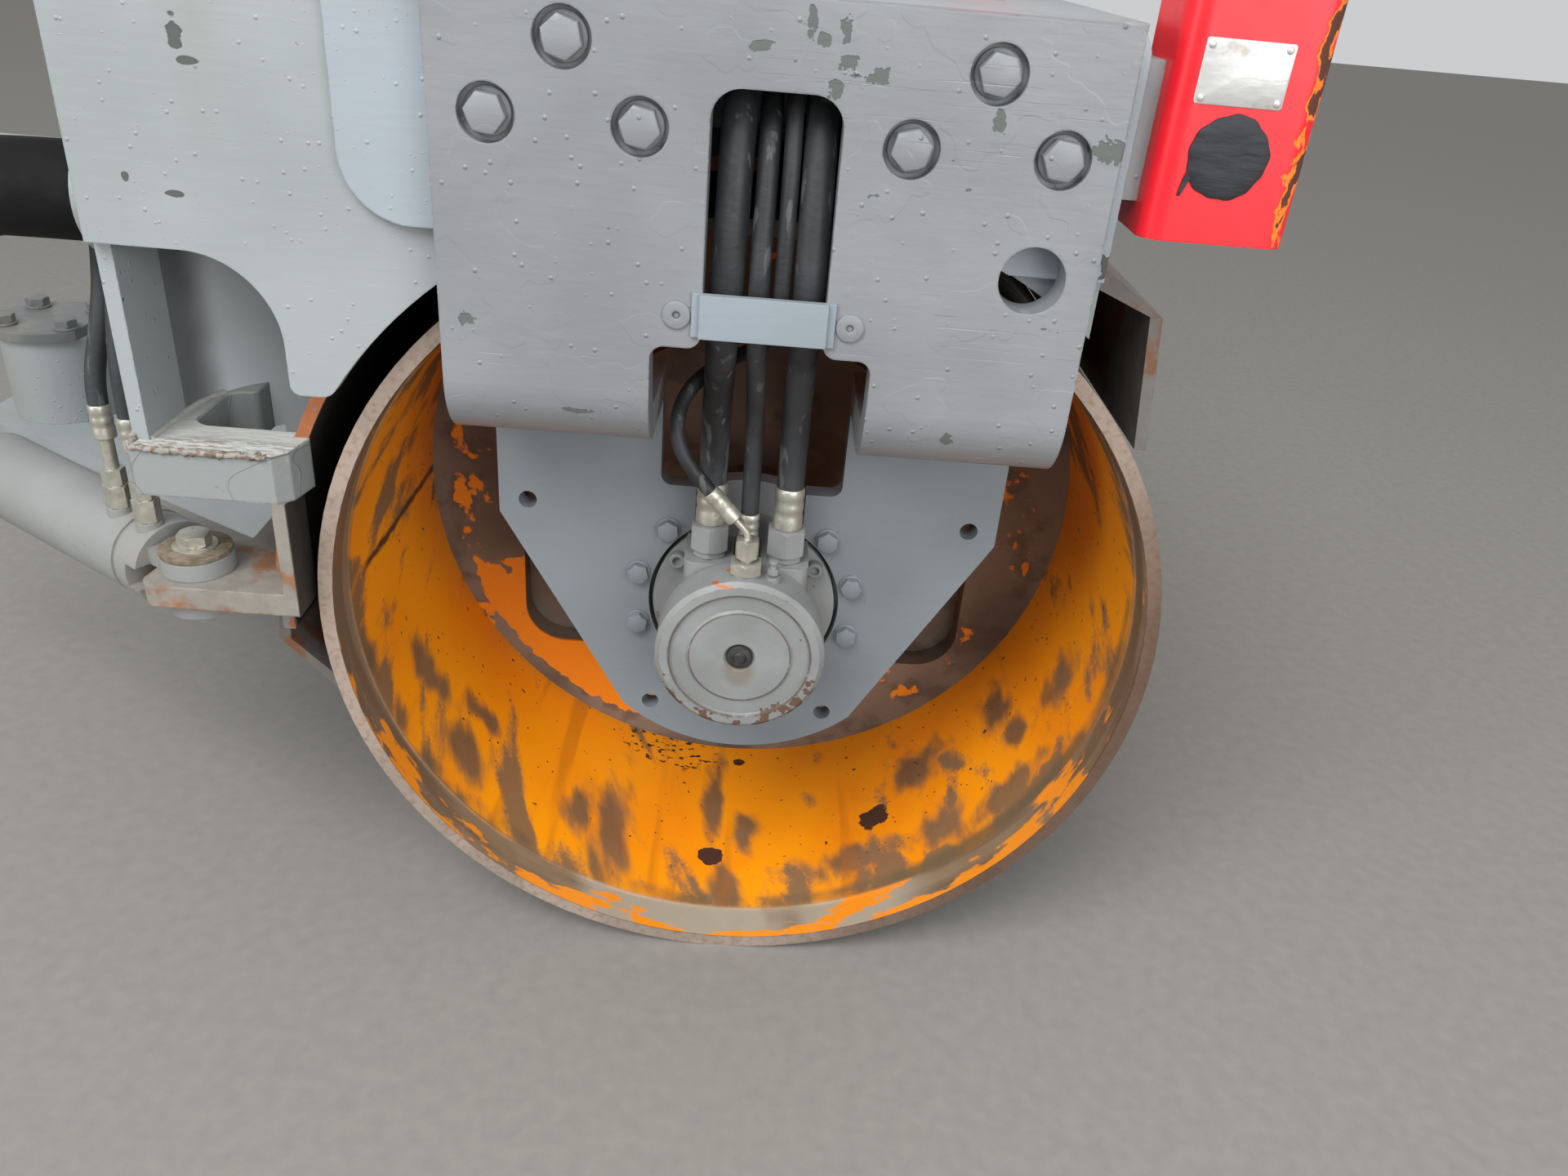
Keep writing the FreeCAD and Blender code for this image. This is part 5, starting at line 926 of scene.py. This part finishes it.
# Clamps: zinc-grey bars over the slots, which hold the hoses back, and the two round bosses for
# their screws on the leg beside them.
dress(brushed_paint("clamp_paint", (140, 150, 158), (129, 138, 145), blister=0.2, chips=0.6, dirt=0.2,
                    edge=0.001), "hose_clamp_near", "hose_clamp_far")
clamp_boss = turned(36, (0.0099, 0.0), (0.0100, 0.0006), (0.0098, 0.0016), (0.0086, 0.0021),
                    (0.0032, 0.0021), (0.0026, 0.0016), (0.0025, 0.0002))
set_pair("clamp_bosses", clamp_boss, [(x, 0.660, 0.3035) for x in (-0.0605, 0.0605)], leg_material, 4,
         "leg_paint")

# Steering cylinder: a painted barrel with a forked foot, held on the lug by a big zinc bolt with a
# rusty ring under its washer; two hose fittings stand on its back end.
dress(brushed_paint("cylinder_paint", (140, 142, 141), (129, 131, 129), blister=0.5, chips=0.8, dirt=0.3),
      "cylinder_barrel")
chrome = Finish("rod_chrome", metallic=1.0)
chrome_film = chrome.noise(40, detail=4)
dress(chrome.finish(chrome.mix(chrome_film, (206, 208, 210), (186, 184, 178)),
                    roughness=0.12 + chrome_film * 0.14), "cylinder_rod")

rusty = Finish("rusty_ring", roughness=0.75)
rusty_grain = rusty.noise(110, detail=4)
rusty_material = rusty.finish(rusty.mix(rusty_grain.rise(0.35, 0.65), (96, 82, 66), (126, 114, 98)),
                              height=rusty_grain)
SWING = (0.437, -0.586, 0.0)
gather("swing_bolt_set", [
    fitting(SWING, zinc_material, (0.0227, 0.0733, 0, 0.0120)),
    fitting(SWING, rusty_material, (0.0733, 0.0780, 0, 0.0290)),
    fitting(SWING, zinc_material, (0.0778, 0.0800, 0, 0.0180), (0.0800, 0.0903, 0.024, 0)),
], "plated_steel", "swing_bolt")

# Steering ports: adapter, nut, neck and crimped sleeve of each hose, in bright yellowish zinc.
port_meshes = []
for x, y in ((0.35775, -0.54646), (0.39297, -0.56934)):
    port_meshes.append(fitting((x, y, 0), zinc_material, (0.0905, 0.111, 0.019, 0),
                               (0.111, 0.126, 0.017, 0), (0.126, 0.153, 0, 0.0058)))
    port_meshes.append(crimp((x, y, 0.153), (x, y, 0.183), 0.009))
gather("cylinder_fittings", port_meshes, "plated_steel", "cylinder_ports", body="barrel")
dress(zinc_material, "steering_unions")

# Steering hoses: they leave the sleeves, lean in behind the front wall's edge and end in unions on a small
# plate.
STEERING = (
    ("steering_hose_front", 0.290, (
        (-542.25, -546.46, 157), (-542.25, -546.46, 178), (-530.25, -541.46, 222),
        (-526.25, -528.46, 262), (-533.25, -504.46, 322), (-530.25, -490.46, 385),
        (-530.25, -490.46, 440))),
    ("steering_hose_rear", 0.290, (
        (-507.03, -569.34, 157), (-507.03, -569.34, 196), (-508.03, -550.34, 252),
        (-510.03, -514.34, 306), (-510.03, -508.34, 350), (-510.03, -510.34, 400),
        (-510.03, -510.34, 440))),
)
STEERING_RADIUS = 0.008


def evaluated_mesh(piece):
    """A piece's mesh as its curve makes it now."""
    return bpy.data.meshes.new_from_object(piece.evaluated_get(bpy.context.evaluated_depsgraph_get()))


for name, length, points in STEERING:
    places = [route_place(*point) for point in points]
    line = route(name + "_line", places, STEERING_RADIUS, rubber_material)
    tube = evaluated_mesh(line)
    line.data.bevel_depth = 0
    bpy.context.evaluated_depsgraph_get().update()
    centre = [vertex.co.copy() for vertex in evaluated_mesh(line).vertices]
    bpy.data.objects.remove(line)
    hose = add(name + "_tube", tube)
    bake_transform(hose)
    hose_facts(hose, name, places, length, STEERING_RADIUS, path=centre)

# Hose bundle: the lines to the other half-frame in a black sleeve, torn at one place, along the
# front wall to the couplings on its strap.
sleeve = Finish("bundle_sleeve")
sleeve.surface.inputs["Specular IOR Level"].default_value = 0.2
sleeve_dust = sleeve.noise(30, detail=5)
sleeve_weave = sleeve.noise(1, stretch=(260, 260, 420), detail=2)
sleeve_fold = sleeve.noise(16, stretch=(0.6, 0.6, 1.6), shift=4)
tear = (sleeve.far((0.296, -0.528, 0.352), (0.006, 0.016, 0.022)) + (sleeve_dust - 0.5)).rise(1.1, 0.9)
sleeve_colour = sleeve.coats(
    (11, 11, 12), (sleeve_dust.rise(0.40, 0.75), (26, 26, 27)), (tear, (150, 122, 98)))
sleeve_material = sleeve.finish(sleeve_colour, roughness=0.7 + sleeve_dust * 0.2,
                                height=sleeve_weave * 0.12 + sleeve_fold * 0.9 - tear * 0.3, distance=0.002)
BUNDLE = ((-496, -562, 332), (-540, -562, 332), (-588, -546, 327), (-628, -506, 317), (-658, -448, 303),
          (-684, -394, 294), (-734, -345, 290), (-786, -345, 290))
BUNDLE_RADIUS = 0.036
places = [route_place(*point) for point in BUNDLE]
bundle = route("hose_bundle_line", places, BUNDLE_RADIUS, sleeve_material)
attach(bundle, "frame")
hose_facts(bundle, "hose_bundle", places, 0.435, BUNDLE_RADIUS)

# A cable tie round the bundle, with its small square head on the outer side.
TIE = Vector((0.306, -0.543, 0.3525))
tie_run = Vector((-48, 20, -6)).normalized()
tie_side = Vector((20, 48, 0)).normalized()
tie_over = tie_run.cross(tie_side)
tie_loops = []
for k in range(64):
    about = tie_side * math.cos(math.tau * k / 64) + tie_over * math.sin(math.tau * k / 64)
    tie_loops.append([TIE + about * reach + tie_run * shift for reach, shift in (
        (0.0352, -0.0024), (0.0374, -0.0024), (0.0374, 0.0024), (0.0352, 0.0024))])
head_place = TIE - tie_over * 0.0385
tie_head = [[head_place + tie_side * a + tie_run * b + tie_over * c for a, b in (
    (-0.004, -0.0035), (0.004, -0.0035), (0.004, 0.0035), (-0.004, 0.0035))] for c in (-0.003, 0.003)]
gather("bundle_tie", [join_loops("tie", tie_loops, black_material, closed=True),
                      join_loops("tie_head", tie_head, black_material)], "hose_rubber")

# Articulation: the boss at the end of the arm, closed by a cap with a flat and four bolts.
# The cap's paint, and its bolts', is darker than the frame's: painted shade, as the cap lies under the
# machine's upper part.
cap_shaded_material = brushed_paint("cap_paint", (106, 108, 108), (94, 96, 96), blister=1.2, chips=1.2, dirt=0.5)
dress(cap_shaded_material, "pivot_cap")
CAP_CIRCLE = 0.054 / math.sqrt(2)
set_heads("cap_bolts", stack_loops((0, 0.003, 0, 0.0150), (0.003, 0.013, 0.024, 0)),
          [(a * CAP_CIRCLE, b * CAP_CIRCLE, 0.066) for a in (-1, 1) for b in (-1, 1)], UPWARD,
          cap_shaded_material, 7, "frame_paint")

# Scrapers: flat bars with black paint that has rusted through, bolted to angled brackets.  Their base tone
# is made far lighter than black paint: painted light, as they lie in shade.
scraper = Finish("scraper_steel")
scraper_grain = scraper.noise(60, detail=5)
scraper_patch = (scraper.noise(16, detail=4, shift=4) + scraper_grain * 0.3).rise(0.66, 0.74)
scraper_worn, scraper_soft = scraper.edges(0.0012)
scraper_lit_colour = scraper.coats(
    (94, 90, 87),
    (scraper_grain, (132, 126, 120)),
    (scraper_patch, (122, 82, 58)),
    (scraper_worn * 0.6, (140, 120, 102)))
dress(scraper.finish(scraper_lit_colour, roughness=0.42 + scraper_grain * 0.3, height=scraper_grain,
                     normal=scraper_soft),
      "rear_scraper", "rear_scraper_bracket", "front_scraper", "front_scraper_bracket")
round_head = turned(32, (0.0115, 0.0), (0.0115, 0.0015), (0.0098, 0.0045), (0.0070, 0.0066),
                    (0.0030, 0.0076))
scraper_points = [(0.4975, y, -0.0405) for y in (-0.535, -0.27, 0.0, 0.27, 0.535)]
set_heads("front_scraper_bolts", round_head, scraper_points, (0, math.radians(-133), 0), rusty_material, 8,
          "scraper_steel")

# Roll-bar posts: red painted square tubes with ears for the upper bar, chipped to orange primer
# and rust along the outer rear edge.
post = Finish("post_paint")
post_clouds = post.noise(9)
post_grain = post.noise(80, stretch=(1, 1, 0.6), detail=6, shift=2)
rear_edge = post.x.rise(1.216, 1.2515) * abs(post.y).rise(0.628, 0.645)
post_worn, post_soft = post.edges(0.0018)
wear = post_grain * 0.75 + rear_edge * 0.26 + post_worn * 0.12
post_colour = post.coats(
    (240, 32, 44),
    (post_clouds.rise(0.3, 0.7), (220, 20, 34)),
    (wear.rise(0.575, 0.60), (240, 120, 18)),
    (wear.rise(0.635, 0.66), (84, 44, 32)))
dress(post.finish(post_colour, roughness=0.26 + post_grain * 0.2 + wear.rise(0.6, 0.65) * 0.4,
                  height=post_clouds * 0.5 - wear.rise(0.57, 0.62) * 0.5 + post_grain * 0.1,
                  normal=post_soft), "post_near", "post_far")

# On the near post: a blank aluminium plate on four rivets, and black tape over a round hole.
POST_FACE = -0.650
PLATE_X = (1.1650, 1.2230)
PLATE_Z = (0.4912, 0.5305)
PLATE_CORNER = 0.0025
RIVET_INSET = 0.004
plate = Finish("blank_plate")
plate_grain = plate.noise(70, stretch=(1, 1, 3), detail=4)
plate_dirt = plate.noise(60, detail=4, shift=3).rise(0.58, 0.70)
plate_colour = plate.coats(
    (184, 184, 181), (plate_grain, (210, 210, 209)), (plate_dirt * 0.5, (140, 120, 100)))
plate_material = plate.finish(plate_colour, roughness=0.30 + plate_grain * 0.2,
                              metallic=0.35 - plate_dirt * 0.3, height=plate_grain, distance=0.0003)


def plate_loop(out, inset):
    """A ring round the plate with rounded corners, a little inside its outline."""
    ring = []
    for t in (math.radians(90 * quarter + 30 * k) for quarter in range(4) for k in range(4)):
        x = PLATE_X[1] - PLATE_CORNER if math.cos(t + 0.001) > 0 else PLATE_X[0] + PLATE_CORNER
        z = PLATE_Z[1] - PLATE_CORNER if math.sin(t + 0.001) > 0 else PLATE_Z[0] + PLATE_CORNER
        ring.append((x + (PLATE_CORNER - inset) * math.cos(t), POST_FACE - out,
                     z + (PLATE_CORNER - inset) * math.sin(t)))
    return ring


stand("blank_plate", join_loops("blank_plate", [plate_loop(0, 0), plate_loop(0.0008, 0),
                                                plate_loop(0.0010, 0.0003)], plate_material),
      "plated_steel")
rivet = turned(20, (0.0024, 0.0), (0.0024, 0.0004), (0.0018, 0.0012), (0.0007, 0.0016))
set_heads("plate_rivets", rivet, [
    (x, POST_FACE - 0.0009, z) for x in (PLATE_X[0] + RIVET_INSET, PLATE_X[1] - RIVET_INSET)
    for z in (PLATE_Z[0] + RIVET_INSET, PLATE_Z[1] - RIVET_INSET)], NEAR, plate_material, 6, "plated_steel")

TAPE = Vector((1.1965, POST_FACE, 0.4600))
TAPE_RADIUS = 0.0268
tape = Finish("black_tape")
tape_fold = tape.noise(1, stretch=(40, 40, 150))
tape_material = tape.finish(tape.mix(tape_fold, (20, 21, 25), (40, 42, 48)),
                            roughness=0.5 + tape_fold * 0.2, height=tape_fold, distance=0.0012)
tape_rings = []
for share, out in ((1.0, 0.0), (0.99, 0.0012), (0.86, 0.0026), (0.55, 0.0020), (0.25, 0.0024),
                   (0.05, 0.0022)):
    ring = []
    for t in (math.tau * k / 72 for k in range(72)):
        reach = TAPE_RADIUS * share * (1 + 0.018 * math.sin(5 * t + 1) + 0.014 * math.sin(13 * t))
        ring.append(TAPE + Vector((reach * math.cos(t), -out, reach * math.sin(t))))
    tape_rings.append(ring)
tail = [[TAPE + Vector((x + a * half, -b, z))
         for a, b in ((-1, 0.0002), (1, 0.0002), (1, 0.0014), (-1, 0.0014))]
        for x, z, half in ((-0.0215, -0.009, 0.0030), (-0.0242, -0.015, 0.0022), (-0.0256, -0.020, 0.0016),
                           (-0.0272, -0.026, 0.0008))]
gather("tape_patch", [join_loops("tape", tape_rings, tape_material),
                      join_loops("tail", tail, tape_material)], "hose_rubber")
